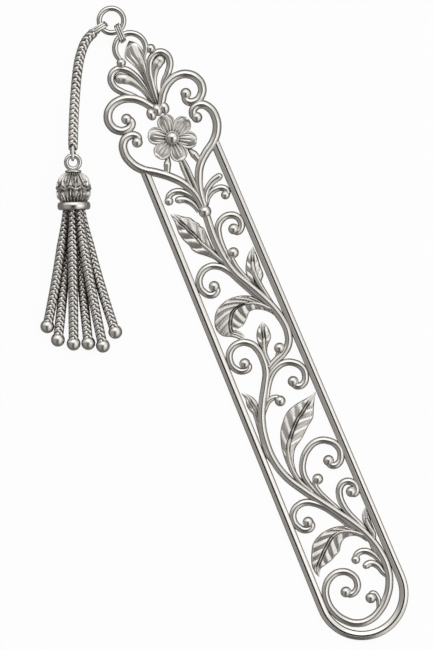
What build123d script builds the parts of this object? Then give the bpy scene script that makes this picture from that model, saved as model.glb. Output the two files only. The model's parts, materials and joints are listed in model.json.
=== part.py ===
from build123d import *

import math
import os

# An openwork silver bookmark that lies on its flat back, with a chain and a tassel.
# X runs across the blade, Y along it towards the loop, Z up out of the table.
# The origin is on the blade's axis, on the flat back, midway across the outer wire of the round end.
# All lengths are in millimetres and all angles in degrees.

# Frame of the blade
RAIL_LENGTH = 104.0
FRAME_END_WIDTH = 18.7
FRAME_TOP_WIDTH = 17.0
OUTER_WIRE_WIDTH = 0.85
INNER_WIRE_WIDTH = 1.0
FRAME_HEIGHT = 1.6
RAIL_TUCK = 0.8

# Wires of the vine and of the head
STEM_WIDTH = 1.45
STEM_HEIGHT = 1.55
SCROLL_WIDTH = 1.25
SCROLL_HEIGHT = 1.4
TENDRIL_WIDTH = 0.95
TENDRIL_HEIGHT = 1.2
HEAD_SCROLL_WIDTH = 1.5
HEAD_SCROLL_HEIGHT = 1.6
LOBE_WIDTH = 1.35
LOBE_HEIGHT = 1.3
SCROLL_BEAD_RADIUS = 1.1
SCROLL_BEAD_HEIGHT = 1.9
SMALL_BEAD_RADIUS = 0.8
SMALL_BEAD_HEIGHT = 1.6
LOBE_TIP_RADIUS = 0.55
LOBE_TIP_HEIGHT = 1.1
DROP_WIDTH = 1.2
DROP_HEIGHT = 1.25
DROP_TIP_RADIUS = 1.0
DROP_TIP_HEIGHT = 1.35

# Leaves
LEAF_THICKNESS = 0.9
RIB_WIDTH = 0.6
RIB_HEIGHT = 1.25

# Flower, knot and collar
KNOT_RADIUS = 1.3
KNOT_HEIGHT = 2.1
FLOWER_STEM_WIDTH = 1.7
PETAL_REACH = 4.9
PETAL_LENGTH = 3.7
PETAL_WIDTH = 3.3
PETAL_HEIGHT = 1.3
PETAL_EDGE_HEIGHT = 0.7
FLOWER_DISC_RADIUS = 1.9
FLOWER_DISC_HEIGHT = 0.9
BOSS_RADIUS = 1.45
BOSS_HEIGHT = 1.9
CALYX_WIDTH = 1.1
COLLAR_WIDTH = 1.7
COLLAR_HEIGHT = 1.9

# Suspension loop, connector link and jump ring
LOOP_RADIUS = 3.05
LOOP_WIRE = 1.2
SHOULDER_BEAD_RADIUS = 0.95
SHOULDER_BEAD_HEIGHT = 2.0
RING_RADIUS = 2.45
RING_WIRE = 1.0
RING_GAP = 0.1
LINK_CLEARANCE = 0.12
LINK_BAND = 0.4
LINK_WIDTH = 1.3

# Chain
CHAIN_WIRE = 0.5
CHAIN_PITCH = 1.55
CHAIN_INNER_WIDTH = 0.95
END_LINK_PITCH = 2.2
CHAIN_GAP = 0.06
END_LINK_CLEARANCE = 0.1

# Tassel
EYE_RADIUS = 1.33
EYE_WIRE = 0.95
NECK_RADIUS = 1.65
NECK_HEIGHT = 0.55
PIN_RADIUS = 0.5
PIN_CLEARANCE = 0.05
CAP_LENGTH = 5.8
CAP_RADIUS = 3.66
CAP_MOUTH_RADIUS = 2.85
CAP_WALL = 0.45
RIM_RADIUS = 3.3
RIM_LENGTH = 1.55
RIM_WALL = 0.45
RIM_FLANGE = 0.3
STRAND_RING_RADIUS = 1.9
STRAND_RING_WIRE = 0.55
STRAND_RING_INSET = 0.4
STRAND_EYE_BORE = 0.4
STRAND_EYE_WIRE = 0.4
STRAND_WIDTH = 1.6
TASSEL_DROP = 36.7
TASSEL_SPREAD = 13.8
BALL_RADIUS = 1.4

# Angles, counts and overruns
BEND_STEP = 22.0
GENTLE_STEP = 4.0
LONG_FACET = 4.0
WALK_STEPS = 160
BEAD_SIDES = 10
BALL_SIDES = 12
SPIN_SIDES = 20
RING_FACETS = 20
WIRE_SIDES = 6
LINK_END_FACETS = 4
LOOP_OPEN_ANGLE = 110.0
RING_LEAN = 101.5
CHAIN_START_ANGLE = 186.0
RUN_LINK_COUNTS = (2, 2, 2, 3, 4, 4)
RUN_HEADINGS = (201.0, 224.0, 235.5, 241.5, 244.3, 246.3)
CLIMBING_RUNS = 2
TASSEL_HEADING = 248.6
STRAND_SEAT_ANGLES = (180.0, 240.0, 120.0, 300.0, 60.0, 0.0)
PETAL_ANGLES = (30.0, 90.0, 150.0, 210.0, 270.0, 330.0)

# Half-round wire section: across as shares of the width, up as shares of the height
D_SECTION_SHARES = ((-0.5, 0), (0.5, 0), (0.5, 0.45), (0.27, 1), (-0.27, 1), (-0.5, 0.45))
# Bead: height shares and radius shares of its rings
BEAD_RING_SHARES = ((0, 0.62), (0.35, 1), (0.75, 0.82), (1, 0.4))
# The flat top of a petal, as a share of its outline
PETAL_CROWN_SHARE = 0.54
# A wire ends inside its bead, at this share of the bead's radius from the middle
BEAD_TUCK_SHARE = 0.88
# The shortest straight facet of a bent wire, as a share of its width
SHORT_FACET_SHARE = 0.45
# Ball: shares of the radius along its axis and across it
BALL_RING_SHARES = ((-0.95, 0.32), (-0.6, 0.8), (0, 1), (0.6, 0.8), (0.95, 0.32))
# Cap outline: shares of its length below the neck, and of its bulge between neck and belly
CAP_LENGTH_SHARES = (0, 0.08, 0.22, 0.4, 0.58, 0.8)
CAP_RADIUS_SHARES = (0.45, 0.67, 0.85, 0.96, 1, 0.94)

# The pattern is drawn on a field whose width and length follow the frame.
# The first number of a point is its share of the field's width, the second of its length.
RAIL_LENGTH_SHARE = 1.04
FRAME_END_WIDTH_SHARE = 0.935
FRAME_TOP_WIDTH_SHARE = 0.85
FIELD_FOOT_SHARE = 0.0045

UPPER_STEM_SHARES = (
    (0.025, 0.918), (0.015, 0.885), (0.018, 0.85), (0.03, 0.82), (0.07, 0.786), (0.14, 0.756),
    (0.22, 0.724), (0.285, 0.692), (0.322, 0.66), (0.32, 0.634), (0.28, 0.614), (0.2, 0.601),
    (0.11, 0.594), (0.02, 0.585),
)
LOWER_STEM_SHARES = (
    (-0.195, 0.612), (-0.17, 0.603), (-0.23, 0.599), (-0.305, 0.61), (-0.322, 0.628), (-0.28, 0.646),
    (-0.175, 0.654), (-0.07, 0.645), (-0.02, 0.626), (-0.01, 0.604), (-0.03, 0.58), (-0.09, 0.557),
    (-0.18, 0.527), (-0.26, 0.492), (-0.302, 0.45), (-0.3, 0.41), (-0.25, 0.372), (-0.15, 0.336),
    (-0.035, 0.302), (0.08, 0.268), (0.19, 0.234), (0.28, 0.198), (0.33, 0.16), (0.335, 0.125),
    (0.295, 0.096), (0.215, 0.072), (0.11, 0.054), (-0.02, 0.0435), (-0.15, 0.046), (-0.26, 0.062),
    (-0.33, 0.086), (-0.347, 0.112), (-0.31, 0.136), (-0.22, 0.152), (-0.11, 0.154), (-0.025, 0.142),
    (0.002, 0.123), (-0.04, 0.108), (-0.105, 0.105), (-0.14, 0.113),
)
SCROLL_SHARES = {
    "upper_right_scroll": (
        (0.027, 0.835), (0.04, 0.862), (0.08, 0.884), (0.15, 0.896), (0.23, 0.898), (0.295, 0.89),
        (0.315, 0.877), (0.295, 0.866), (0.25, 0.861), (0.22, 0.869),
    ),
    "left_upper_scroll": (
        (0.085, 0.78), (0.01, 0.801), (-0.075, 0.814), (-0.17, 0.818), (-0.26, 0.81), (-0.31, 0.793),
        (-0.3, 0.776), (-0.24, 0.764), (-0.175, 0.767), (-0.18, 0.778),
    ),
    "right_middle_scroll": (
        (-0.11, 0.546), (-0.045, 0.563), (0.045, 0.577), (0.16, 0.583), (0.26, 0.576), (0.32, 0.56),
        (0.32, 0.544), (0.27, 0.53), (0.205, 0.53), (0.182, 0.542),
    ),
    "right_lower_scroll": (
        (-0.095, 0.335), (-0.08, 0.364), (-0.03, 0.387), (0.055, 0.405), (0.165, 0.413), (0.275, 0.406),
        (0.345, 0.387), (0.34, 0.369), (0.285, 0.356), (0.22, 0.357), (0.205, 0.369),
    ),
    "left_lower_scroll": (
        (0.05, 0.278), (-0.04, 0.297), (-0.13, 0.307), (-0.225, 0.3095), (-0.31, 0.302), (-0.347, 0.286),
        (-0.33, 0.27), (-0.27, 0.258), (-0.205, 0.26), (-0.22, 0.271),
    ),
    "right_end_scroll": (
        (0.225, 0.228), (0.18, 0.25), (0.162, 0.275), (0.17, 0.295), (0.21, 0.311), (0.275, 0.317),
        (0.34, 0.31), (0.355, 0.297), (0.325, 0.288), (0.295, 0.294),
    ),
}
TENDRIL_SHARES = {
    "upper_bud": ((0.095, 0.776), (0.077, 0.8), (0.085, 0.82), (0.127, 0.8255)),
    "small_curl": ((0.095, 0.594), (0.145, 0.602), (0.185, 0.614)),
    "middle_hook": ((-0.23, 0.496), (-0.17, 0.515), (-0.095, 0.526), (-0.03, 0.525), (-0.012, 0.516)),
    "lower_bud": ((0.025, 0.295), (-0.02, 0.316), (-0.02, 0.335), (0.035, 0.343)),
    "end_hook": ((0.06, 0.049), (0.11, 0.062), (0.13, 0.078), (0.105, 0.09), (0.067, 0.083)),
}
SPRIG_HOOK_SHARES = {
    "left_sprig": (
        (0.01, 0.934), (-0.025, 0.955), (-0.085, 0.972), (-0.16, 0.982), (-0.235, 0.981), (-0.27, 0.97),
    ),
    "right_sprig": (
        (0.065, 0.932), (0.12, 0.949), (0.21, 0.956), (0.285, 0.952), (0.305, 0.943), (0.275, 0.938),
    ),
    "end_sprig": (
        (0.305, 0.126), (0.29, 0.146), (0.25, 0.163), (0.19, 0.174), (0.12, 0.175), (0.075, 0.165),
    ),
}
SPRIG_LOBE_SHARES = {
    "left_sprig": ((-0.03, 0.928), (-0.06, 0.946), (-0.11, 0.959), (-0.18, 0.965)),
    "right_sprig": ((0.055, 0.934), (0.1, 0.956), (0.18, 0.97), (0.29, 0.977)),
    "end_sprig": ((0.28, 0.116), (0.26, 0.134), (0.21, 0.146), (0.145, 0.146)),
}
HEAD_SCROLL_SHARES = {
    "left_heart_scroll": (
        (0.017, 0.934), (0.002, 0.96), (-0.06, 0.989), (-0.155, 1.012), (-0.275, 1.032), (-0.395, 1.049),
        (-0.47, 1.07), (-0.495, 1.095), (-0.46, 1.114), (-0.39, 1.121), (-0.315, 1.114), (-0.335, 1.103),
    ),
    "right_heart_scroll": (
        (0.037, 0.934), (0.055, 0.965), (0.095, 0.99), (0.16, 1.013), (0.26, 1.031), (0.37, 1.046),
        (0.45, 1.066), (0.482, 1.09), (0.46, 1.112), (0.395, 1.124), (0.325, 1.123), (0.285, 1.112),
        (0.31, 1.103),
    ),
    "left_crown_scroll": (
        (-0.075, 1.159), (-0.14, 1.176), (-0.23, 1.189), (-0.34, 1.194), (-0.445, 1.188), (-0.51, 1.172),
        (-0.515, 1.154), (-0.465, 1.139), (-0.39, 1.134), (-0.315, 1.141), (-0.345, 1.154),
    ),
    "right_crown_scroll": (
        (0.045, 1.159), (0.105, 1.176), (0.195, 1.19), (0.3, 1.195), (0.4, 1.189), (0.465, 1.173),
        (0.475, 1.156), (0.435, 1.141), (0.365, 1.134), (0.285, 1.14), (0.3, 1.156),
    ),
}
LOBE_SHARES = {
    "left_lobe_loop": (
        (-0.2, 1.193), (-0.285, 1.208), (-0.34, 1.226), (-0.325, 1.244), (-0.25, 1.253), (-0.165, 1.246),
        (-0.1, 1.224), (-0.065, 1.195), (-0.045, 1.16),
    ),
    "right_lobe_loop": (
        (0.135, 1.193), (0.22, 1.209), (0.275, 1.227), (0.265, 1.245), (0.2, 1.2535), (0.12, 1.248),
        (0.06, 1.228), (0.03, 1.198), (0.015, 1.16),
    ),
}
DROP_PETAL_SHARES = (
    ((-0.085, 1.165), (-0.11, 1.198), (-0.165, 1.22), (-0.25, 1.234)),
    ((0.05, 1.165), (0.07, 1.2), (0.12, 1.223), (0.195, 1.237)),
)
LEAF_OUTLINE_SHARES = {
    "upper_leaf": (
        (-0.31, 0.945), (-0.25, 0.939), (-0.19, 0.93), (-0.135, 0.923), (-0.11, 0.914), (-0.08, 0.906),
        (-0.07, 0.898), (-0.05, 0.892), (-0.045, 0.86), (-0.03, 0.84), (0.01, 0.82), (-0.02, 0.811),
        (-0.08, 0.828), (-0.14, 0.84), (-0.21, 0.852), (-0.245, 0.862), (-0.255, 0.872), (-0.29, 0.888),
        (-0.305, 0.905), (-0.3, 0.925),
    ),
    "right_small_leaf": (
        (0.33, 0.822), (0.26, 0.812), (0.205, 0.798), (0.165, 0.78), (0.155, 0.763), (0.175, 0.748),
        (0.225, 0.724), (0.255, 0.732), (0.275, 0.75), (0.32, 0.762), (0.325, 0.78), (0.335, 0.8),
    ),
    "curled_leaf": (
        (0.26, 0.71), (0.2, 0.72), (0.125, 0.732), (0.025, 0.741), (-0.1, 0.7435), (-0.2, 0.738),
        (-0.265, 0.729), (-0.31, 0.715), (-0.33, 0.7), (-0.32, 0.689), (-0.29, 0.679), (-0.225, 0.672),
        (-0.18, 0.666), (-0.13, 0.657), (-0.09, 0.664), (-0.12, 0.675), (-0.15, 0.681), (-0.1, 0.682),
        (-0.05, 0.685), (0, 0.694), (0.045, 0.703), (0.1, 0.704), (0.175, 0.697), (0.24, 0.685),
        (0.29, 0.67), (0.3, 0.69),
    ),
    "small_upright_leaf": (
        (0.125, 0.676), (0.06, 0.667), (0.02, 0.655), (0.005, 0.642), (0.005, 0.625), (0.005, 0.605),
        (0.035, 0.592), (0.045, 0.605), (0.065, 0.62), (0.1, 0.63), (0.145, 0.639), (0.16, 0.65),
        (0.155, 0.665),
    ),
    "narrow_leaf": (
        (-0.345, 0.56), (-0.29, 0.554), (-0.245, 0.542), (-0.23, 0.53), (-0.235, 0.515), (-0.265, 0.495),
        (-0.3, 0.465), (-0.318, 0.44), (-0.32, 0.41), (-0.348, 0.415), (-0.352, 0.44), (-0.34, 0.47),
        (-0.322, 0.5), (-0.318, 0.512), (-0.33, 0.52), (-0.34, 0.532), (-0.328, 0.546),
    ),
    "middle_leaf": (
        (0.35, 0.505), (0.3, 0.488), (0.26, 0.472), (0.225, 0.459), (0.16, 0.449), (0.1, 0.439),
        (0.05, 0.43), (0, 0.424), (-0.045, 0.418), (-0.085, 0.408), (-0.115, 0.395), (-0.13, 0.38),
        (-0.13, 0.365), (-0.1, 0.345), (-0.15, 0.335), (-0.18, 0.36), (-0.195, 0.38), (-0.197, 0.4),
        (-0.185, 0.425), (-0.155, 0.446), (-0.12, 0.462), (-0.075, 0.474), (-0.03, 0.484), (0.015, 0.491),
        (0.08, 0.496), (0.15, 0.499), (0.25, 0.501),
    ),
    "end_small_leaf": (
        (0.362, 0.254), (0.31, 0.244), (0.287, 0.23), (0.3, 0.21), (0.34, 0.185), (0.36, 0.2),
        (0.365, 0.22), (0.372, 0.24),
    ),
    "lower_leaf": (
        (0.225, 0.222), (0.165, 0.23), (0.075, 0.238), (-0.025, 0.242), (-0.125, 0.2405), (-0.2, 0.235),
        (-0.26, 0.227), (-0.3, 0.215), (-0.335, 0.2), (-0.355, 0.185), (-0.35, 0.17), (-0.33, 0.161),
        (-0.31, 0.168), (-0.28, 0.175), (-0.225, 0.178), (-0.15, 0.182), (-0.09, 0.188), (-0.04, 0.193),
        (-0.01, 0.202), (0.03, 0.21), (0.08, 0.213), (0.15, 0.21), (0.21, 0.201), (0.25, 0.19),
        (0.29, 0.178), (0.29, 0.2),
    ),
    "palmette_leaf": (
        (-0.02, 1.297), (0.03, 1.289), (0.06, 1.275), (0.06, 1.26), (0.04, 1.235), (0.02, 1.2),
        (0.005, 1.15), (-0.04, 1.15), (-0.055, 1.2), (-0.075, 1.235), (-0.11, 1.258), (-0.125, 1.271),
        (-0.08, 1.286),
    ),
}
LEAF_RIB_SHARES = {
    "upper_leaf": ((-0.29, 0.935), (-0.19, 0.905), (-0.1, 0.865), (-0.03, 0.825)),
    "right_small_leaf": ((0.315, 0.81), (0.26, 0.785), (0.235, 0.74)),
    "curled_leaf": ((0.25, 0.695), (0.15, 0.714), (0, 0.721), (-0.15, 0.713), (-0.27, 0.695)),
    "small_upright_leaf": ((0.115, 0.668), (0.08, 0.645), (0.03, 0.605)),
    "narrow_leaf": ((-0.32, 0.552), (-0.285, 0.525), (-0.295, 0.49), (-0.325, 0.45)),
    "middle_leaf": ((0.31, 0.498), (0.15, 0.478), (0, 0.45), (-0.1, 0.415), (-0.155, 0.37)),
    "end_small_leaf": ((0.345, 0.245), (0.325, 0.23), (0.335, 0.2)),
    "lower_leaf": (
        (0.22, 0.208), (0.13, 0.222), (-0.02, 0.22), (-0.15, 0.207), (-0.26, 0.187), (-0.32, 0.168),
    ),
    "palmette_leaf": ((-0.02, 1.288), (-0.025, 1.23), (-0.02, 1.16)),
}
KNOT_SHARE = (0.022, 0.923)
FLOWER_SHARE = (0.004, 1.084)
FLOWER_STEM_SHARES = ((0.012, 0.936), (0.007, 0.98), (0.004, 1.05))
CALYX_SHARES = (((-0.1, 1.054), (-0.18, 1.022)), ((0.11, 1.054), (0.172, 1.018)))
COLLAR_SHARES = ((-0.122, 1.143), (-0.025, 1.147), (0.07, 1.144))
LOOP_CENTRE_SHARE = (-0.039, 1.2815)
SHOULDER_BEAD_SHARES = ((-0.178, 1.2617), (0.148, 1.2655))

# Tassel ball places: shares of the spread to the right of the axis, and of the drop
BALL_SPREAD_SHARES = (-0.426, -0.277, -0.051, 0.162, 0.372, 0.556)
BALL_DROP_SHARES = (0.888, 0.962, 0.985, 0.984, 1, 0.926)
STRAND_FLARE_SHARE = 0.35

UP = Vector(0, 0, 1)
FIELD_LENGTH = RAIL_LENGTH / RAIL_LENGTH_SHARE
END_RADIUS = FRAME_END_WIDTH / 2
FOOT_EDGE = OUTER_WIRE_WIDTH / 2
BOW_CENTRE = Vector(0, END_RADIUS - FOOT_EDGE)
LINK_LEAD = (CHAIN_WIRE + CHAIN_GAP) / 2
LOOP_HEIGHT = LOOP_WIRE / 2 + LINK_CLEARANCE + LINK_BAND

nodes = {}
seated = []


def at(point_share, height=0):
    """Turns a point of the pattern into its place on the blade."""
    across_share, along_share = point_share
    along = (along_share - FIELD_FOOT_SHARE) * FIELD_LENGTH - FOOT_EDGE
    climb = min(max((along - BOW_CENTRE.Y) / (RAIL_LENGTH - END_RADIUS), 0), 1)
    end_width = FRAME_END_WIDTH / FRAME_END_WIDTH_SHARE
    top_width = FRAME_TOP_WIDTH / FRAME_TOP_WIDTH_SHARE
    return Vector(across_share * (end_width + (top_width - end_width) * climb), along, height)


def facet_path(curve, step, shortest, head_tuck=0, foot_tuck=0):
    """Follows a smooth curve with straight facets that each turn by the step.

    No facet is shorter than the shortest, so that the wire bent on it doesn't run into itself.
    A tuck leaves out the end of the curve that lies this near to the end point.
    """
    walk = [count / WALK_STEPS for count in range(WALK_STEPS + 1)]
    while head_tuck and (curve @ walk[0] - curve @ 0).length < head_tuck:
        walk.pop(0)
    while foot_tuck and (curve @ walk[-1] - curve @ 1).length < foot_tuck:
        walk.pop()
    corners = [curve @ walk[0]]
    heading = curve % walk[0]
    for share in walk[1:-1]:
        spot = curve @ share
        length = (spot - corners[-1]).length
        if length >= LONG_FACET or (length >= shortest and heading.get_angle(curve % share) >= step):
            corners.append(spot)
            heading = curve % share
    if len(corners) > 1 and (curve @ walk[-1] - corners[-1]).length < shortest:
        corners.pop()
    corners.append(curve @ walk[-1])
    return Polyline(*corners)


def upright_section(path, width, height):
    """Stands the half-round wire section on the back plane, square to the start of a path."""
    along = path % 0
    outline = [(width * across, height * up) for across, up in D_SECTION_SHARES]
    plane = Plane(origin=path @ 0, x_dir=UP.cross(along), z_dir=along)
    return plane * make_face(Polyline(*outline, close=True))


def wire(shares, width, height, head_tuck=0, foot_tuck=0):
    """Bends a half-round wire along points of the pattern."""
    curve = Spline(*[at(share) for share in shares])
    path = facet_path(curve, BEND_STEP, width * SHORT_FACET_SHARE, head_tuck, foot_tuck)
    return sweep(upright_section(path, width, height), path, transition=Transition.RIGHT)


def panel(corners):
    """Makes one flat panel."""
    return Face(Wire.make_polygon(corners))


def ring_corners(plane, radius, sides):
    """Gives the corners of a regular polygon on a plane."""
    corners = []
    for count in range(sides):
        turn = 2 * math.pi * count / sides
        corners.append(plane.from_local_coords(Vector(radius * math.cos(turn), radius * math.sin(turn))))
    return corners


def skinned(rings):
    """Closes a solid of flat panels over a stack of rings that have equal numbers of corners."""
    faces = [panel(rings[0]), panel(rings[-1])]
    for lower, upper in zip(rings, rings[1:]):
        for count in range(len(lower)):
            following = (count + 1) % len(lower)
            faces.append(panel([lower[count], lower[following], upper[following], upper[count]]))
    return Solid(Shell(faces))


def bead(centre, radius, height):
    """Makes a flat-backed bead, standing on the height of its centre."""
    rings = []
    for height_share, radius_share in BEAD_RING_SHARES:
        plane = Plane(origin=centre + UP * (height * height_share))
        rings.append(ring_corners(plane, radius * radius_share, BEAD_SIDES))
    return skinned(rings)


def balled_wire(shares, width, height, bead_radius, bead_height, both_ends=False):
    """Makes a wire whose last point, or each end point, carries a bead."""
    tuck = bead_radius * BEAD_TUCK_SHARE
    balled = wire(shares, width, height, tuck if both_ends else 0, tuck)
    for share in (shares[0], shares[-1]) if both_ends else (shares[-1],):
        balled = balled + bead(at(share), bead_radius, bead_height)
    return balled


def boxes_meet(first, second):
    """Says whether two bounding boxes overlap."""
    clear = first.min.X > second.max.X or second.min.X > first.max.X
    clear = clear or first.min.Y > second.max.Y or second.min.Y > first.max.Y
    return not (clear or first.min.Z > second.max.Z or second.min.Z > first.max.Z)


def largest(shape):
    """Keeps the main solid of a shape that filing may have left in crumbs."""
    return max(shape.solids(), key=lambda solid: solid.volume)


def seat(name, *pieces):
    """Adds pieces to a node of the blade, each filed to fit the pieces seated before it."""
    for piece in pieces:
        box = piece.bounding_box()
        for other, other_box in seated:
            if boxes_meet(box, other_box):
                piece = largest(piece - other)
        piece = largest(piece)
        seated.append((piece, piece.bounding_box()))
        nodes.setdefault(name, []).append(piece)


def frame_path(inset):
    """Follows the U of the frame, at a distance inside its outer edge."""
    lean = math.degrees(math.atan2((FRAME_END_WIDTH - FRAME_TOP_WIDTH) / 2, RAIL_LENGTH - END_RADIUS))
    side = Vector(END_RADIUS - inset, 0).rotate(Axis.Z, lean)
    rail = Vector(0, RAIL_LENGTH - END_RADIUS + RAIL_TUCK).rotate(Axis.Z, lean)
    right_foot = BOW_CENTRE + side
    left_foot = BOW_CENTRE + Vector(-side.X, side.Y)
    left_top = left_foot + Vector(-rail.X, rail.Y)
    bow = ThreePointArc(left_foot, BOW_CENTRE - Vector(0, END_RADIUS - inset), right_foot)
    return Wire([Line(left_top, left_foot), bow, Line(right_foot, right_foot + rail)])


def frame_wire(inset, width):
    """Sweeps one of the two frame wires along its U."""
    path = frame_path(inset + width / 2)
    return sweep(upright_section(path, width, FRAME_HEIGHT), path)


def leaf(name):
    """Cuts a leaf plate and lays its rib on it."""
    outline = Polyline(*[at(share) for share in LEAF_OUTLINE_SHARES[name]], close=True)
    return extrude(make_face(outline), LEAF_THICKNESS) + wire(LEAF_RIB_SHARES[name], RIB_WIDTH, RIB_HEIGHT)


def petal(angle):
    """Makes one domed petal that points away from the flower's centre."""
    middle = PETAL_REACH - PETAL_LENGTH / 2
    spread = Vector(middle, 0).rotate(Axis.Z, angle)
    base = Plane(origin=at(FLOWER_SHARE) + spread, x_dir=Vector(1, 0).rotate(Axis.Z, angle), z_dir=UP)
    rings = []
    for height, size_share in ((0, 1), (PETAL_EDGE_HEIGHT, 1), (PETAL_HEIGHT, PETAL_CROWN_SHARE)):
        rim = []
        for count in range(BEAD_SIDES):
            turn = 2 * math.pi * count / BEAD_SIDES
            along = PETAL_LENGTH / 2 * size_share * math.cos(turn)
            across = PETAL_WIDTH / 2 * size_share * math.sin(turn)
            rim.append(base.from_local_coords(Vector(along, across, height)))
        rings.append(rim)
    return skinned(rings)


def flower():
    """Joins six petals on a small disc."""
    disc = Plane(origin=at(FLOWER_SHARE)) * RegularPolygon(FLOWER_DISC_RADIUS, BALL_SIDES)
    blossom = extrude(disc, FLOWER_DISC_HEIGHT)
    for angle in PETAL_ANGLES:
        blossom = blossom + petal(angle)
    return blossom


def ring_arc(centre, radius, wire_width, start, sweep_angle):
    """Bends round wire into a level, faceted arc about a centre."""
    facets = round(RING_FACETS * sweep_angle / 360)
    corners = []
    for count in range(facets + 1):
        corners.append(centre + Vector(radius, 0).rotate(Axis.Z, start + sweep_angle * count / facets))
    path = Polyline(*corners)
    section = Plane(origin=path @ 0, x_dir=UP, z_dir=path % 0)
    return sweep(section * RegularPolygon(wire_width / 2, WIRE_SIDES), path, transition=Transition.RIGHT)


def closed_ring(plane, radius, wire_width):
    """Makes a closed ring of faceted round wire in the XY of a plane."""
    corners = []
    for count in range(RING_FACETS):
        turn = 2 * math.pi * (count + 0.5) / RING_FACETS
        corners.append(Vector(radius * math.cos(turn), radius * math.sin(turn)))
    middle = (corners[-1] + corners[0]) / 2
    path = Polyline(middle, *corners, close=True)
    section = Plane(origin=path @ 0, x_dir=UP, z_dir=path % 0)
    ring = sweep(section * RegularPolygon(wire_width / 2, WIRE_SIDES), path, transition=Transition.RIGHT)
    return plane * ring


def racetrack(length, end_radius):
    """Draws the centre line of an oval link along X, about the origin, starting on a straight side."""
    reach = length / 2 - end_radius
    corners = [Vector(0, -end_radius)]
    for end, start_angle in ((1, -90), (-1, 90)):
        for count in range(LINK_END_FACETS + 1):
            turn = math.radians(start_angle + 180 * count / LINK_END_FACETS)
            corners.append(Vector(end * reach + end_radius * math.cos(turn), end_radius * math.sin(turn)))
    return Polyline(*corners, close=True)


def oval_link(plane, length, end_radius, wire_width):
    """Makes an oval link of faceted round wire in the XY of a plane."""
    path = racetrack(length, end_radius)
    section = Plane(origin=path @ 0, x_dir=UP, z_dir=path % 0) * RegularPolygon(wire_width / 2, WIRE_SIDES)
    return plane * sweep(section, path, transition=Transition.RIGHT)


# Blade: the knot and the collar are whole, and the wires are filed to meet them
seat("knot_bead", bead(at(KNOT_SHARE), KNOT_RADIUS, KNOT_HEIGHT))
seat("crown_collar", wire(COLLAR_SHARES, COLLAR_WIDTH, COLLAR_HEIGHT))
seat("flower", flower())
boss_foot = at(FLOWER_SHARE, FLOWER_DISC_HEIGHT)
seat("flower_boss", bead(boss_foot, BOSS_RADIUS, BOSS_HEIGHT))
head_sizes = (HEAD_SCROLL_WIDTH, HEAD_SCROLL_HEIGHT, SCROLL_BEAD_RADIUS, SCROLL_BEAD_HEIGHT)
for name, shares in HEAD_SCROLL_SHARES.items():
    seat(name, balled_wire(shares, *head_sizes))
seat("outer_frame_wire", frame_wire(0, OUTER_WIRE_WIDTH))
seat("inner_frame_wire", frame_wire(OUTER_WIRE_WIDTH, INNER_WIRE_WIDTH))
seat("upper_stem", wire(UPPER_STEM_SHARES, STEM_WIDTH, STEM_HEIGHT))
stem_sizes = (STEM_WIDTH, STEM_HEIGHT, SCROLL_BEAD_RADIUS, SCROLL_BEAD_HEIGHT)
seat("lower_stem", balled_wire(LOWER_STEM_SHARES, *stem_sizes, both_ends=True))
for name, shares in SCROLL_SHARES.items():
    seat(name, balled_wire(shares, SCROLL_WIDTH, SCROLL_HEIGHT, SCROLL_BEAD_RADIUS, SCROLL_BEAD_HEIGHT))
for name, shares in TENDRIL_SHARES.items():
    seat(name, balled_wire(shares, TENDRIL_WIDTH, TENDRIL_HEIGHT, SCROLL_BEAD_RADIUS, SCROLL_BEAD_HEIGHT))
lobe_sizes = (TENDRIL_WIDTH, TENDRIL_HEIGHT, LOBE_TIP_RADIUS, LOBE_TIP_HEIGHT)
for name, shares in SPRIG_HOOK_SHARES.items():
    hook = balled_wire(shares, TENDRIL_WIDTH, TENDRIL_HEIGHT, SMALL_BEAD_RADIUS, SMALL_BEAD_HEIGHT)
    seat(name, hook, balled_wire(SPRIG_LOBE_SHARES[name], *lobe_sizes))
seat("flower_stem", wire(FLOWER_STEM_SHARES, FLOWER_STEM_WIDTH, STEM_HEIGHT))
seat("calyx_stubs", *[wire(shares, CALYX_WIDTH, TENDRIL_HEIGHT) for shares in CALYX_SHARES])
for name, shares in LOBE_SHARES.items():
    seat(name, wire(shares, LOBE_WIDTH, LOBE_HEIGHT))
petals = []
for shares in DROP_PETAL_SHARES:
    petals.append(balled_wire(shares, DROP_WIDTH, DROP_HEIGHT, DROP_TIP_RADIUS, DROP_TIP_HEIGHT))
seat("drop_petals", *petals)
shoulders = [bead(at(share), SHOULDER_BEAD_RADIUS, SHOULDER_BEAD_HEIGHT) for share in SHOULDER_BEAD_SHARES]
seat("shoulder_beads", *shoulders)
for name in LEAF_OUTLINE_SHARES:
    seat(name, leaf(name))
loop_centre = at(LOOP_CENTRE_SHARE, LOOP_HEIGHT)
loop_start = LOOP_OPEN_ANGLE / 2 - 90
seat("suspension_loop", ring_arc(loop_centre, LOOP_RADIUS, LOOP_WIRE, loop_start, 360 - LOOP_OPEN_ANGLE))

# Connector link and jump ring
lean_way = Vector(1, 0).rotate(Axis.Z, RING_LEAN)
loop_hook = loop_centre + lean_way * LOOP_RADIUS
ring_hook = loop_centre + lean_way * (LOOP_RADIUS + LOOP_WIRE / 2 + RING_GAP + RING_WIRE / 2)
link_plane = Plane(origin=(loop_hook + ring_hook) / 2, x_dir=lean_way, z_dir=lean_way.cross(UP))
link_bore = LOOP_WIRE / 2 + LINK_CLEARANCE
link_length = (ring_hook - loop_hook).length
link_inside = make_face(racetrack(link_length + 2 * link_bore, link_bore))
link_outside = make_face(racetrack(link_length + 2 * (link_bore + LINK_BAND), link_bore + LINK_BAND))
link_band = extrude(link_outside - link_inside, LINK_WIDTH / 2, both=True)
nodes["connector_link"] = [link_plane * link_band]
ring_centre = ring_hook + lean_way * RING_RADIUS
nodes["jump_ring"] = [closed_ring(Plane(origin=ring_centre), RING_RADIUS, RING_WIRE)]

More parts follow.
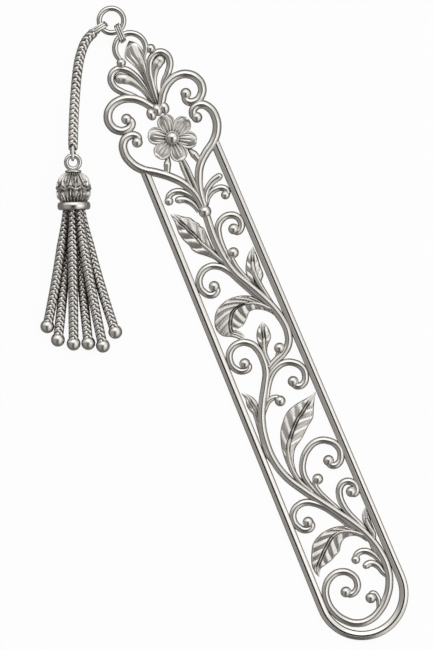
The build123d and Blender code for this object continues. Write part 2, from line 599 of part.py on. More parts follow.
# Chain: runs of oval links, flat and upright in turn, from the ring to the tassel's eye
end_bore = max(RING_WIRE, EYE_WIRE) / 2 + END_LINK_CLEARANCE
end_link_radius = end_bore + CHAIN_WIRE / 2
mid_link_radius = (CHAIN_INNER_WIDTH + CHAIN_WIRE) / 2
ring_reach = RING_WIRE / 2 + END_LINK_CLEARANCE + CHAIN_WIRE / 2
eye_reach = EYE_WIRE / 2 + END_LINK_CLEARANCE + CHAIN_WIRE / 2
link_total = sum(RUN_LINK_COUNTS)
axis_height = CAP_RADIUS
climb_length = CHAIN_PITCH * (sum(RUN_LINK_COUNTS[-CLIMBING_RUNS:]) - 1) + END_LINK_PITCH
climb_angle = math.degrees(math.asin((axis_height - LOOP_HEIGHT) / climb_length))
spot = ring_centre + Vector(RING_RADIUS, 0).rotate(Axis.Z, CHAIN_START_ANGLE)
link_number = 0
for run, (link_count, heading) in enumerate(zip(RUN_LINK_COUNTS, RUN_HEADINGS)):
    level = Vector(1, 0).rotate(Axis.Z, heading)
    across = UP.cross(level)
    rise = climb_angle if run >= len(RUN_LINK_COUNTS) - CLIMBING_RUNS else 0
    onward = level.rotate(Axis((0, 0, 0), across), -rise)
    for _ in range(link_count):
        link_number += 1
        first, last = link_number == 1, link_number == link_total
        lead = ring_reach if first else LINK_LEAD
        tail = eye_reach if last else LINK_LEAD
        pitch = END_LINK_PITCH if first or last else CHAIN_PITCH
        radius = end_link_radius if first or last else mid_link_radius
        middle = spot + onward * ((pitch + tail - lead) / 2)
        normal = across if link_number % 2 else onward.cross(across)
        plane = Plane(origin=middle, x_dir=onward, z_dir=normal)
        link = oval_link(plane, pitch + lead + tail, radius, CHAIN_WIRE)
        nodes.setdefault(f"chain_{run + 1}", []).append(link)
        spot = spot + onward * pitch

# Tassel: its axis lies level, on the cap's belly
down = Vector(1, 0).rotate(Axis.Z, TASSEL_HEADING)
aside = UP.cross(down)
eye_centre = spot + down * EYE_RADIUS
tassel_plane = Plane(origin=eye_centre, x_dir=aside * -1, z_dir=down * -1)


def turned(profile):
    """Turns a closed outline of radius and drop about the tassel's axis, in flat panels."""
    faces = []
    for (radius, drop), (next_radius, next_drop) in zip(profile, [*profile[1:], profile[0]]):
        ring = ring_corners(tassel_plane.offset(-drop), radius, SPIN_SIDES)
        next_ring = ring_corners(tassel_plane.offset(-next_drop), next_radius, SPIN_SIDES)
        for count in range(SPIN_SIDES):
            following = (count + 1) % SPIN_SIDES
            corners = [ring[count]] if radius == 0 else [ring[count], ring[following]]
            corners += [next_ring[count]] if next_radius == 0 else [next_ring[following], next_ring[count]]
            if len(corners) > 2:
                faces.append(panel(corners))
    return Solid(Shell(faces))


neck_top = EYE_RADIUS + EYE_WIRE / 4
neck_foot = neck_top + NECK_HEIGHT
cap_foot = neck_foot + CAP_LENGTH
rim_foot = cap_foot + RIM_LENGTH
ring_drop = rim_foot - STRAND_RING_INSET
pin_foot = ring_drop - STRAND_RING_WIRE / 2
eye_ring = closed_ring(Plane(origin=eye_centre, x_dir=aside, z_dir=UP), EYE_RADIUS, EYE_WIRE)
neck_outline = (
    (0, neck_top), (NECK_RADIUS - NECK_HEIGHT / 2, neck_top), (NECK_RADIUS, neck_top + NECK_HEIGHT / 2),
    (NECK_RADIUS, neck_foot), (PIN_RADIUS, neck_foot), (PIN_RADIUS, pin_foot), (0, pin_foot),
)
nodes["tassel_eye"] = [eye_ring + turned(neck_outline)]
cap_outside = []
cap_inside = []
for length_share, radius_share in zip(CAP_LENGTH_SHARES, CAP_RADIUS_SHARES):
    cap_outside.append((CAP_RADIUS * radius_share, neck_foot + CAP_LENGTH * length_share))
for radius, drop in cap_outside[1:]:
    cap_inside.append((radius - CAP_WALL, drop + CAP_WALL / 2))
pin_hole = PIN_RADIUS + PIN_CLEARANCE
cap_outline = [(pin_hole, neck_foot), *cap_outside, (CAP_MOUTH_RADIUS, cap_foot)]
cap_outline += [(CAP_MOUTH_RADIUS - CAP_WALL, cap_foot), *reversed(cap_inside)]
cap_outline += [(pin_hole, cap_outside[1][1] + CAP_WALL / 2)]
nodes["tassel_cap"] = [turned(cap_outline)]
rim_bore = RIM_RADIUS - RIM_WALL
rim_outline = (
    (CAP_MOUTH_RADIUS - CAP_WALL, cap_foot), (CAP_MOUTH_RADIUS, cap_foot),
    (RIM_RADIUS, cap_foot + RIM_FLANGE), (RIM_RADIUS, rim_foot - RIM_FLANGE),
    (RIM_RADIUS - RIM_FLANGE / 2, rim_foot), (rim_bore, rim_foot),
    (rim_bore, cap_foot + RIM_FLANGE), (CAP_MOUTH_RADIUS - CAP_WALL, cap_foot + RIM_FLANGE),
)
nodes["cap_rim"] = [turned(rim_outline)]
mouth_plane = tassel_plane.offset(-ring_drop)
cross_bar = Box(STRAND_RING_WIRE, 2 * STRAND_RING_RADIUS, STRAND_RING_WIRE)
mouth_ring = closed_ring(Plane.XY, STRAND_RING_RADIUS, STRAND_RING_WIRE)
nodes["strand_ring"] = [mouth_plane * (mouth_ring + cross_bar)]


def ball(centre, along):
    """Makes a faceted ball with its axis along the strand that it ends."""
    rings = []
    for along_share, radius_share in BALL_RING_SHARES:
        plane = Plane(origin=centre + along * (BALL_RADIUS * along_share), x_dir=UP.cross(along), z_dir=along)
        rings.append(ring_corners(plane, BALL_RADIUS * radius_share, BALL_SIDES))
    return skinned(rings)


for number, seat_angle in enumerate(STRAND_SEAT_ANGLES):
    turn = math.radians(seat_angle)
    outward = aside * math.cos(turn) + UP * math.sin(turn)
    hook = eye_centre + down * ring_drop + outward * STRAND_RING_RADIUS
    tip = eye_centre + down * (TASSEL_DROP * BALL_DROP_SHARES[number])
    tip = tip + aside * (TASSEL_SPREAD * BALL_SPREAD_SHARES[number]) + UP * (BALL_RADIUS - axis_height)
    top = hook + down * (STRAND_EYE_BORE + STRAND_EYE_WIRE / 2)
    chord = (tip - top).normalized()
    arrival = (chord + (chord - down) * STRAND_FLARE_SHARE).normalized()
    path = facet_path(Spline(top, tip, tangents=(down, arrival)), GENTLE_STEP, STRAND_WIDTH)
    section = Plane(origin=path @ 0, x_dir=outward, z_dir=path % 0)
    strand = sweep(section * RegularPolygon(STRAND_WIDTH / 2, WIRE_SIDES), path, transition=Transition.RIGHT)
    eye_plane = Plane(origin=hook, x_dir=outward, z_dir=outward.cross(down))
    bore = STRAND_EYE_BORE
    hole = extrude(RegularPolygon(bore + STRAND_EYE_WIRE, BALL_SIDES) - RegularPolygon(bore, BALL_SIDES),
                   STRAND_EYE_WIRE / 2, both=True)
    nodes[f"strand_{number + 1}"] = [strand + eye_plane * hole + ball(tip, arrival)]

os.makedirs("parts", exist_ok=True)
for name, pieces in nodes.items():
    solids = [solid for piece in pieces for solid in piece.solids()]
    export_step(Compound(solids), f"parts/{name}.step")
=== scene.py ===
import json
import math

import bpy
from bpy.props import FloatProperty, FloatVectorProperty, PointerProperty
from mathutils import Matrix, Vector


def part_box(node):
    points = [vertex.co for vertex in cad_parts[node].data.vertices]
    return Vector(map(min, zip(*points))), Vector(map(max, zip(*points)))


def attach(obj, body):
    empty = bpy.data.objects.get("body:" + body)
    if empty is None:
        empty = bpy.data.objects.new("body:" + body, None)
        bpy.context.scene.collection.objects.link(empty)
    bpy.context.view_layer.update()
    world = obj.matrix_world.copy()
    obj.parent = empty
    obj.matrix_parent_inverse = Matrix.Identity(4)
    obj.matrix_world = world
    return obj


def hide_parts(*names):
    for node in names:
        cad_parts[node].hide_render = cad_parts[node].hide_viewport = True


bl_info = {
    "name": "Openwork silver bookmark",
    "version": (1, 0, 0),
    "blender": (4, 5, 0),
    "location": "3D View > Sidebar > Bookmark",
    "description": "Dresses a packed openwork bookmark in antiqued silver, with its chain and tassel",
    "category": "Object",
}

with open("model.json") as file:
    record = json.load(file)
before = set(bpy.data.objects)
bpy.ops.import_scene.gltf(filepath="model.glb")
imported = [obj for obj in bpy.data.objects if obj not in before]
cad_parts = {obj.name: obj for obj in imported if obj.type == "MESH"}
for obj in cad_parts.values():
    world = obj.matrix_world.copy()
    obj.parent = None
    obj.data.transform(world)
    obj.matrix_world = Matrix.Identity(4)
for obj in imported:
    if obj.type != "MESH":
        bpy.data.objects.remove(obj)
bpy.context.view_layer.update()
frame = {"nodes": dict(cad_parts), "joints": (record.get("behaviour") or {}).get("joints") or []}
MM = 0.001
PIVOTS = {joint["child"]: Vector(joint["pos_m"]) for joint in frame["joints"]}
UP = Vector((0, 0, 1))

# Edges that turn by less than this are shaded smooth
SMOOTH_ANGLE = math.radians(42)
# Steps between two points of a wire or a smooth line, and how near two corners of a plate are one
WIRE_STEPS = 8
SPLINE_STEPS = 10
MERGE_DISTANCE = 0.0001 * MM

# The field that the pattern is drawn on, as in the solids
FRAME_LOW, FRAME_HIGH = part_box("outer_frame_wire")
FRAME_END_WIDTH = FRAME_HIGH.x - FRAME_LOW.x
FRAME_TOP_WIDTH = 17.0 * MM
RAIL_LENGTH = 104.0 * MM
RAIL_LENGTH_SHARE = 1.04
FRAME_END_WIDTH_SHARE = 0.935
FRAME_TOP_WIDTH_SHARE = 0.85
FIELD_FOOT_SHARE = 0.0045
FIELD_LENGTH = RAIL_LENGTH / RAIL_LENGTH_SHARE
FOOT_EDGE = -FRAME_LOW.y
END_RADIUS = FRAME_END_WIDTH / 2
BOW_CENTRE = END_RADIUS - FOOT_EDGE
OUTER_WIRE_WIDTH = 0.85 * MM
INNER_WIRE_WIDTH = 1.0 * MM
OUTER_WIRE_HEIGHT = 1.38 * MM
INNER_WIRE_HEIGHT = 1.5 * MM
# How far the rails run on under the head, and where their points lie between bow and top
RAIL_TUCK = 0.6 * MM
RAIL_KNOTS = (0.04, 0.5, 1)
BOW_STEPS = 24

# Wires: width and height
STEM_HEIGHT = 1.55 * MM
SCROLL_HEIGHT = 1.4 * MM
TENDRIL_WIDTH = 1.15 * MM
TENDRIL_HEIGHT = 1.25 * MM
HEAD_SCROLL_WIDTH = 1.72 * MM
HEAD_SCROLL_HEIGHT = 1.6 * MM
LOBE_WIDTH = 1.42 * MM
LOBE_HEIGHT = 1.3 * MM
SPRIG_WIDTH = 1.36 * MM
DROP_WIDTH = 2.15 * MM
DROP_HEIGHT = 1.5 * MM
COLLAR_WIDTH = 1.5 * MM
COLLAR_HEIGHT = 1.6 * MM
STUB_WIDTH = 1.3 * MM
FLOWER_STEM_WIDTH = 1.8 * MM

# Beads: radius and height
BEAD_HEIGHT = 1.9 * MM
SMALL_BEAD_RADIUS = 0.9 * MM
SMALL_BEAD_HEIGHT = 1.6 * MM
LOBE_TIP_RADIUS = 0.68 * MM
LOBE_TIP_HEIGHT = 1.2 * MM
KNOT_RADIUS = 1.3 * MM
KNOT_HEIGHT = 2.1 * MM
KNOB_RADIUS = 0.98 * MM
KNOB_HEIGHTS = (1.95 * MM, 2.2 * MM, 1.95 * MM)
KNOB_STRETCH = 1.3
SHOULDER_BEAD_RADIUS = 0.95 * MM
SHOULDER_BEAD_HEIGHT = 2.0 * MM
BOSS_RADIUS = 1.45 * MM
BOSS_HEIGHT = 2.8 * MM
BEAD_SEGMENTS = 28
BEAD_RINGS = 18
CUT_THRESHOLD = 0.0001 * MM

# Leaves: thickness of the edge, height of the relief, and the width from which it is full
LEAF_EDGE = 0.5 * MM
LEAF_RELIEF = 0.62 * MM
LEAF_RELIEF_WIDTH = 2.6 * MM
LEAF_ROWS = 72
LEAF_COLUMNS = 64
VEIN_PITCH = 2.4 * MM
VEIN_SLOPE = 1.15
LEAST_VEINS = 3
RIB_WIDTH = 0.24 * MM
RIM_WIDTH = 0.36 * MM
STALK_WIDTH = 1.1 * MM
STALK_HEIGHT = 1.42 * MM
STALK_STEPS = 5

# Relief of a leaf as shares: its dome, the cells between its veins, its edge, the groove beside its rib
DOME_SHARE = 0.72
DOME_POWER = 0.7
CELL_SHARE = 0.52
CELL_POWER = 0.8
RIM_SHARE = 0.2
GROOVE_SHARE = 0.36
RELIEF_SINK = 0.22

# Palmette: its rise to the foot, its ridge and ribs across it, and where the ribs start and are full
PALMETTE_RISE = 0.8 * MM
PALMETTE_COLUMNS = 72
PALMETTE_RIDGE = -0.1
PALMETTE_RIBS = (-0.86, -0.1, 0.42, 0.9)
FACET_SHARE = 0.8
FACET_LIFT = 0.3
PALMETTE_RIB_SHARE = 0.5
PALMETTE_RIB_SPREAD = 0.16
PALMETTE_RIB_SINK = 0.2
PALMETTE_RIB_GIRTH = 1.6
PALMETTE_RIB_START = 0.08
PALMETTE_RIB_FADE = 0.3

# Petals: shares along and across them, and heights in millimetres
PETALS = 6
PETAL_TURN = math.radians(30)
PETAL_START = 0.7 * MM
PETAL_REACH = 4.25 * MM
PETAL_WIDTH = 1.78 * MM
PETAL_ROWS = 36
PETAL_COLUMNS = 56
PETAL_FOOT_SHARE = 0.4
PETAL_BROADEST = 0.62
PETAL_TIP = 0.39
PETAL_EDGE = 0.86
PETAL_DOME = 0.3
PETAL_RIM = 0.16
PETAL_RIM_PLACE = 0.22 * MM
PETAL_RIM_SPREAD = 0.18 * MM
PETAL_GROOVES = (-0.44, 0, 0.44)
PETAL_GROOVE_SPREAD = 0.07
PETAL_GROOVE_DEPTH = 0.14
PETAL_GROOVE_END = 0.8
PETAL_GROOVE_FALL = 0.25
PETAL_GROOVE_FADE = 0.3

# Wire sections, across as shares of the width and up as shares of the height. Most are right halves
RIDGE_SHARES = ((0.47, 0), (0.5, 0.46), (0.47, 0.62), (0.4, 0.77), (0.28, 0.89), (0.13, 0.97), (0, 1))
# The whole section of the inner frame wire, which slopes inwards; the outer one's is its mirror image
RAIL_SHARES = (
    (-0.5, 0), (-0.5, 0.5), (-0.46, 0.65), (-0.38, 0.755), (-0.28, 0.815), (0, 0.89), (0.2, 0.95),
    (0.29, 0.965), (0.36, 0.94), (0.43, 0.83), (0.49, 0.62), (0.5, 0),
)
ROUND_SHARES = ((0, -0.5), (0.25, -0.433), (0.433, -0.25), (0.5, 0), (0.433, 0.25), (0.25, 0.433), (0, 0.5))
TWIN_SHARES = ((0.46, 0), (0.5, 0.5), (0.46, 0.75), (0.36, 0.92), (0.25, 0.97), (0.13, 0.9), (0, 0.68))

# Girth along a wire as shares of its width. The first is of a wire whose root runs out along a stem
ROOT_SWELL = (0.4, 0.82, 0.95, 1, 1, 1, 1, 1.02)
UPPER_STEM_SWELL = (1, 1, 1, 0.9)
LOWER_STEM_SWELL = (0.85, 0.9, 1, 1, 1, 1, 0.9, 0.85)
SPRIG_LOBE_SWELL = (0.8, 1, 1.15)
STALK_SWELL = (0.68, 0.78, 0.88, 0.98, 1, 0.95, 0.4)
HEAD_SCROLL_SWELL = (0.9, 1, 1.05, 1, 0.85)
LOBE_SWELL = (0.6, 1, 1.05, 1, 0.85, 0.6)
DROP_SWELL = (0.3, 0.5, 0.8, 1, 0.96)
COLLAR_SWELL = (0.9, 1, 1, 1, 0.9)
STUB_SWELL = (0.4, 1.2, 0.9)
LOOP_SWELL = (0.55, 1, 1, 1, 1, 1, 0.8)
FLOWER_STEM_SWELL = (0.9, 0.95, 1, 0.8, 0.4)

# Lines of the pattern, as shares of the field's width from its middle and of its length from its foot
UPPER_STEM_SHARES = (
    (0.022, 0.918), (0.008, 0.885), (0.006, 0.852), (0.02, 0.821), (0.064, 0.786), (0.14, 0.756),
    (0.22, 0.724), (0.285, 0.692), (0.322, 0.66), (0.32, 0.634), (0.28, 0.614), (0.2, 0.601),
    (0.11, 0.594), (0.02, 0.585),
)
LOWER_STEM_SHARES = (
    (-0.195, 0.612), (-0.17, 0.603), (-0.23, 0.599), (-0.305, 0.61), (-0.322, 0.628), (-0.28, 0.646),
    (-0.175, 0.654), (-0.07, 0.645), (-0.02, 0.626), (-0.01, 0.604), (-0.03, 0.58), (-0.09, 0.557),
    (-0.18, 0.527), (-0.26, 0.492), (-0.302, 0.45), (-0.3, 0.41), (-0.25, 0.372), (-0.15, 0.336),
    (-0.035, 0.302), (0.08, 0.268), (0.19, 0.234), (0.28, 0.198), (0.33, 0.16), (0.335, 0.125),
    (0.295, 0.096), (0.215, 0.072), (0.11, 0.054), (-0.02, 0.0435), (-0.15, 0.046), (-0.26, 0.062),
    (-0.33, 0.086), (-0.347, 0.112), (-0.31, 0.136), (-0.22, 0.152), (-0.11, 0.154), (-0.025, 0.142),
    (0.002, 0.123), (-0.04, 0.108), (-0.105, 0.105), (-0.14, 0.113),
)
SCROLL_SHARES = {
    "upper_right_scroll": (
        (0.125, 0.772), (0.084, 0.794), (0.06, 0.82), (0.05, 0.848), (0.06, 0.87), (0.09, 0.886),
        (0.15, 0.896), (0.23, 0.898), (0.295, 0.89),
        (0.315, 0.877), (0.295, 0.866), (0.25, 0.861), (0.22, 0.869),
    ),
    "left_upper_scroll": (
        (0.245, 0.7), (0.198, 0.717), (0.138, 0.741), (0.07, 0.77), (0.008, 0.796), (-0.075, 0.813),
        (-0.17, 0.818), (-0.26, 0.81), (-0.31, 0.793),
        (-0.3, 0.776), (-0.24, 0.764), (-0.175, 0.767), (-0.18, 0.778),
    ),
    "right_middle_scroll": (
        (-0.19, 0.507), (-0.165, 0.517), (-0.116, 0.535), (-0.064, 0.553), (0.005, 0.57), (0.085, 0.58),
        (0.17, 0.583), (0.26, 0.576), (0.32, 0.56),
        (0.32, 0.544), (0.27, 0.53), (0.205, 0.53), (0.182, 0.542),
    ),
    "right_lower_scroll": (
        (0.08, 0.276), (0.025, 0.296), (-0.03, 0.319), (-0.068, 0.341), (-0.076, 0.366), (-0.03, 0.388),
        (0.055, 0.405), (0.165, 0.413), (0.275, 0.406), (0.345, 0.387), (0.34, 0.369), (0.285, 0.356),
        (0.22, 0.357), (0.205, 0.369),
    ),
    "left_lower_scroll": (
        (0.255, 0.191), (0.202, 0.211), (0.136, 0.237), (0.058, 0.264), (-0.015, 0.286), (-0.1, 0.302),
        (-0.165, 0.309), (-0.24, 0.3095), (-0.31, 0.302), (-0.347, 0.286),
        (-0.33, 0.27), (-0.27, 0.258), (-0.205, 0.26), (-0.22, 0.271),
    ),
    "right_end_scroll": (
        (0.318, 0.18), (0.295, 0.202), (0.243, 0.23), (0.192, 0.254), (0.168, 0.276), (0.172, 0.296),
        (0.21, 0.311), (0.275, 0.317), (0.34, 0.31), (0.355, 0.297), (0.325, 0.288), (0.295, 0.294),
    ),
}
TENDRIL_SHARES = {
    "upper_bud": (
        (0.215, 0.738), (0.158, 0.763), (0.112, 0.787), (0.092, 0.806), (0.095, 0.82), (0.127, 0.8255),
    ),
    "small_curl": ((0.095, 0.594), (0.145, 0.602), (0.185, 0.614)),
    "middle_hook": ((-0.23, 0.496), (-0.17, 0.515), (-0.095, 0.526), (-0.03, 0.525), (-0.012, 0.516)),
    "lower_bud": (
        (0.15, 0.256), (0.09, 0.279), (0.032, 0.302), (-0.004, 0.32), (-0.01, 0.336), (0.035, 0.343),
    ),
    "end_hook": ((0.06, 0.049), (0.11, 0.062), (0.13, 0.078), (0.105, 0.09), (0.067, 0.083)),
}
SPRIG_HOOK_SHARES = {
    "left_sprig": (
        (0.01, 0.934), (-0.025, 0.955), (-0.085, 0.972), (-0.16, 0.982), (-0.235, 0.981), (-0.27, 0.97),
    ),
    "right_sprig": (
        (0.065, 0.932), (0.12, 0.949), (0.21, 0.956), (0.285, 0.952), (0.305, 0.943), (0.275, 0.938),
    ),
    "end_sprig": (
        (0.305, 0.126), (0.29, 0.146), (0.25, 0.163), (0.19, 0.174), (0.12, 0.175), (0.075, 0.165),
    ),
}
SPRIG_LOBE_SHARES = {
    "left_sprig": ((-0.03, 0.928), (-0.06, 0.946), (-0.11, 0.959), (-0.18, 0.965)),
    "right_sprig": ((0.055, 0.934), (0.1, 0.956), (0.18, 0.97), (0.29, 0.977)),
    "end_sprig": ((0.32, 0.107), (0.28, 0.12), (0.255, 0.136), (0.21, 0.146), (0.145, 0.146)),
}
HEAD_SCROLL_SHARES = {
    "left_heart_scroll": (
        (0.017, 0.934), (0.002, 0.96), (-0.06, 0.989), (-0.155, 1.012), (-0.275, 1.032), (-0.395, 1.049),
        (-0.47, 1.07), (-0.495, 1.095), (-0.46, 1.114), (-0.39, 1.121), (-0.315, 1.114), (-0.335, 1.103),
    ),
    "right_heart_scroll": (
        (0.037, 0.934), (0.055, 0.965), (0.095, 0.99), (0.16, 1.013), (0.26, 1.031), (0.37, 1.046),
        (0.45, 1.066), (0.482, 1.09), (0.46, 1.112), (0.395, 1.124), (0.325, 1.123), (0.285, 1.112),
        (0.31, 1.103),
    ),
    "left_crown_scroll": (
        (-0.03, 1.148), (-0.075, 1.159), (-0.14, 1.176), (-0.23, 1.189), (-0.34, 1.194), (-0.445, 1.188),
        (-0.51, 1.172), (-0.515, 1.154), (-0.465, 1.139), (-0.39, 1.134), (-0.315, 1.141), (-0.345, 1.154),
    ),
    "right_crown_scroll": (
        (0.0, 1.148), (0.045, 1.159), (0.105, 1.176), (0.195, 1.19), (0.3, 1.195), (0.4, 1.189),
        (0.465, 1.173), (0.475, 1.156), (0.435, 1.141), (0.365, 1.134), (0.285, 1.14), (0.3, 1.156),
    ),
}
LOBE_SHARES = {
    "left_lobe_loop": (
        (-0.14, 1.18), (-0.2, 1.193), (-0.285, 1.208), (-0.34, 1.226), (-0.325, 1.244), (-0.25, 1.253),
        (-0.165, 1.246), (-0.107, 1.231), (-0.062, 1.206), (-0.034, 1.179), (-0.024, 1.157),
    ),
    "right_lobe_loop": (
        (0.09, 1.175), (0.135, 1.193), (0.22, 1.209), (0.275, 1.227), (0.265, 1.245), (0.2, 1.2535),
        (0.12, 1.248), (0.056, 1.228), (0.028, 1.201), (0.014, 1.177), (0.004, 1.157),
    ),
}
DROP_PETAL_SHARES = (
    ((-0.048, 1.165), (-0.088, 1.197), (-0.158, 1.221), (-0.25, 1.234)),
    ((0.026, 1.167), (0.05, 1.2), (0.108, 1.224), (0.19, 1.237)),
)
# Leaf outlines start at the tip; the number after each is the place of its foot in the list
LEAF_OUTLINES = {
    "upper_leaf": ((
        (-0.31, 0.945), (-0.25, 0.939), (-0.19, 0.93), (-0.135, 0.923), (-0.11, 0.914), (-0.08, 0.906),
        (-0.07, 0.898), (-0.05, 0.892), (-0.045, 0.86), (-0.03, 0.84), (0.01, 0.82), (-0.02, 0.811),
        (-0.08, 0.828), (-0.14, 0.84), (-0.21, 0.852), (-0.245, 0.862), (-0.255, 0.872), (-0.29, 0.888),
        (-0.305, 0.905), (-0.3, 0.925),
    ), 10),
    "right_small_leaf": ((
        (0.33, 0.822), (0.26, 0.812), (0.205, 0.798), (0.165, 0.78), (0.155, 0.763), (0.175, 0.748),
        (0.225, 0.724), (0.255, 0.732), (0.275, 0.75), (0.32, 0.762), (0.325, 0.78), (0.335, 0.8),
    ), 6),
    "curled_leaf": ((
        (-0.09, 0.664), (-0.13, 0.657), (-0.18, 0.666), (-0.225, 0.672), (-0.29, 0.679), (-0.32, 0.689),
        (-0.33, 0.7), (-0.31, 0.715), (-0.265, 0.729), (-0.2, 0.738), (-0.1, 0.7435), (0.025, 0.741),
        (0.125, 0.732), (0.2, 0.72), (0.26, 0.71), (0.3, 0.69), (0.29, 0.67), (0.24, 0.685),
        (0.175, 0.697), (0.1, 0.704), (0.045, 0.703), (0, 0.694), (-0.05, 0.685), (-0.1, 0.682),
        (-0.15, 0.681), (-0.12, 0.675),
    ), 15),
    "small_upright_leaf": ((
        (0.125, 0.676), (0.06, 0.667), (0.02, 0.655), (0.005, 0.642), (0.005, 0.625), (0.005, 0.605),
        (0.035, 0.592), (0.045, 0.605), (0.065, 0.62), (0.1, 0.63), (0.145, 0.639), (0.16, 0.65),
        (0.155, 0.665),
    ), 6),
    "narrow_leaf": ((
        (-0.345, 0.56), (-0.29, 0.554), (-0.245, 0.542), (-0.23, 0.53), (-0.235, 0.515), (-0.265, 0.495),
        (-0.3, 0.465), (-0.318, 0.44), (-0.32, 0.41), (-0.348, 0.415), (-0.352, 0.44), (-0.34, 0.47),
        (-0.322, 0.5), (-0.318, 0.512), (-0.33, 0.52), (-0.34, 0.532), (-0.328, 0.546),
    ), 8),
    "middle_leaf": ((
        (0.35, 0.505), (0.3, 0.488), (0.26, 0.472), (0.225, 0.459), (0.16, 0.449), (0.1, 0.439),
        (0.05, 0.43), (0, 0.424), (-0.045, 0.418), (-0.085, 0.408), (-0.115, 0.395), (-0.13, 0.38),
        (-0.13, 0.365), (-0.1, 0.345), (-0.15, 0.335), (-0.18, 0.36), (-0.195, 0.38), (-0.197, 0.4),
        (-0.185, 0.425), (-0.155, 0.446), (-0.12, 0.462), (-0.075, 0.474), (-0.03, 0.484), (0.015, 0.491),
        (0.08, 0.496), (0.15, 0.499), (0.25, 0.501),
    ), 14),
    "end_small_leaf": ((
        (0.362, 0.254), (0.31, 0.244), (0.287, 0.23), (0.3, 0.21), (0.34, 0.185), (0.36, 0.2),
        (0.365, 0.22), (0.372, 0.24),
    ), 4),
    "lower_leaf": ((
        (-0.33, 0.161), (-0.35, 0.17), (-0.355, 0.185), (-0.335, 0.2), (-0.3, 0.215), (-0.26, 0.227),
        (-0.2, 0.235), (-0.125, 0.2405), (-0.025, 0.242), (0.075, 0.238), (0.165, 0.23), (0.225, 0.222),
        (0.29, 0.2), (0.29, 0.178), (0.25, 0.19), (0.21, 0.201), (0.15, 0.21), (0.08, 0.213),
        (0.03, 0.21), (-0.01, 0.202), (-0.04, 0.193), (-0.09, 0.188), (-0.15, 0.182), (-0.225, 0.178),
        (-0.28, 0.175), (-0.31, 0.168),
    ), 12),
    "palmette_leaf": ((
        (-0.02, 1.297), (0.03, 1.289), (0.066, 1.275), (0.074, 1.26), (0.056, 1.238), (0.03, 1.222),
        (0.012, 1.2), (0.002, 1.178), (-0.011, 1.153), (-0.025, 1.182), (-0.036, 1.208), (-0.05, 1.23),
        (-0.074, 1.246), (-0.11, 1.26), (-0.125, 1.271), (-0.08, 1.286),
    ), 8),
}
# Stalks: the shares of the blade where they start and leave it, and the places beyond
LEAF_STALKS = {
    "upper_leaf": (0.5, 0.93, ((0.03, 0.806), (0.072, 0.783))),
    "right_small_leaf": (0.3, 0.52, ((0.248, 0.75), (0.271, 0.722), (0.306, 0.696))),
    "curled_leaf": (0.6, 0.92, ((0.288, 0.676), (0.308, 0.652))),
    "small_upright_leaf": (0.4, 0.92, ((0.016, 0.58), (-0.02, 0.569))),
    "narrow_leaf": (0.45, 0.9, ((-0.325, 0.415), (-0.318, 0.395))),
    "middle_leaf": (0.5, 0.93, ((-0.078, 0.327), (-0.02, 0.304))),
    "end_small_leaf": (0.35, 0.8, ((0.325, 0.192), (0.34, 0.172))),
    "lower_leaf": (0.5, 0.92, ((0.283, 0.17), (0.305, 0.14))),
}
KNOT_SHARE = (0.022, 0.923)
FLOWER_SHARE = (0.004, 1.084)
FLOWER_STEM_SHARES = ((0.02, 0.936), (0.012, 0.98), (0.007, 1.02), (0.005, 1.036), (0.004, 1.05))
CALYX_SHARES = (
    ((-0.1, 1.054), (-0.14, 1.04), (-0.18, 1.022)),
    ((0.11, 1.054), (0.14, 1.038), (0.172, 1.018)),
)
COLLAR_SHARES = ((-0.122, 1.143), (-0.09, 1.1445), (-0.026, 1.147), (0.038, 1.1455), (0.07, 1.144))
KNOB_SHARES = ((-0.098, 1.1435), (-0.026, 1.147), (0.046, 1.1455))
LOOP_CENTRE_SHARE = (-0.039, 1.2815)
SHOULDER_BEAD_SHARES = ((-0.178, 1.2617), (0.148, 1.2655))
# Balls of the strands, as shares of the tassel's spread and drop
BALL_SPREAD_SHARES = (-0.426, -0.277, -0.051, 0.162, 0.372, 0.556)
BALL_DROP_SHARES = (0.888, 0.962, 0.985, 0.984, 1, 0.926)

# Loop and links, with the loop's arc in degrees
LOOP_RADIUS = 3.05 * MM
LOOP_WIRE = 1.2 * MM
LOOP_HEIGHT = 1.12 * MM
LOOP_START = -54
LOOP_SWEEP = 278
LOOP_STEPS = 22
RING_RADIUS = 2.45 * MM
RING_WIRE = 1.08 * MM
LINK_BORE = 0.68 * MM
LINK_WIRE = 0.43 * MM
LINK_SLANT = 0.2
# A wound link's turns: how much further the middle one reaches, and how that falls, as shares of the wire
WINDINGS = 3
MIDDLE_STRETCH = 0.7
STRETCH_FALL = 0.6
# How soon an oval's ends run over into its straight sides
OVAL_TURN = 2.2
# Facets of bent wires, round the ring and round the wire
LINK_FACETS = (48, 8)
RING_FACETS = (64, 14)
END_LINK_FACETS = (32, 8)
EYE_FACETS = (56, 14)
BALL_COLLAR_FACETS = (28, 8)

# Chain: its runs between joints, and the loops at its two ends
CHAIN_RUNS = 6
CHAIN_STEPS = 600
CHAIN_LOOP_STEPS = 40
CHAIN_LOOP_SLANT = 0.15
END_LINK_RADIUS = 0.85 * MM
END_LINK_LENGTH = 2.0 * MM
END_LINK_WIRE = 0.624 * MM
# How far the plait stays back from the loops, as shares of a run, and how far it is drawn in there
START_GAP = 0.2
START_GIRTH = 0.8
END_GAP = 0.09
END_GIRTH = 0.62

# Plait: a core and the legs of folded links round it, as shares of its width or of a leg
PLAIT_PITCH = 1.05 * MM
PLAIT_COLUMNS = 4
PLAIT_DRAWN_ROWS = 3
ROW_PLACES = 4
CORE_SHARE = 0.5
CORE_POINTS = 12
LEG_LENGTH_SHARE = 0.9
LEG_WIDTH_SHARE = 0.35
LEG_PLACE_SHARE = 0.33
LEG_SLANT = math.radians(38)
LEG_TAPER = 0.18
LEG_SAG = 0.16
LEG_SEGMENTS = 8
LEG_RINGS = 6

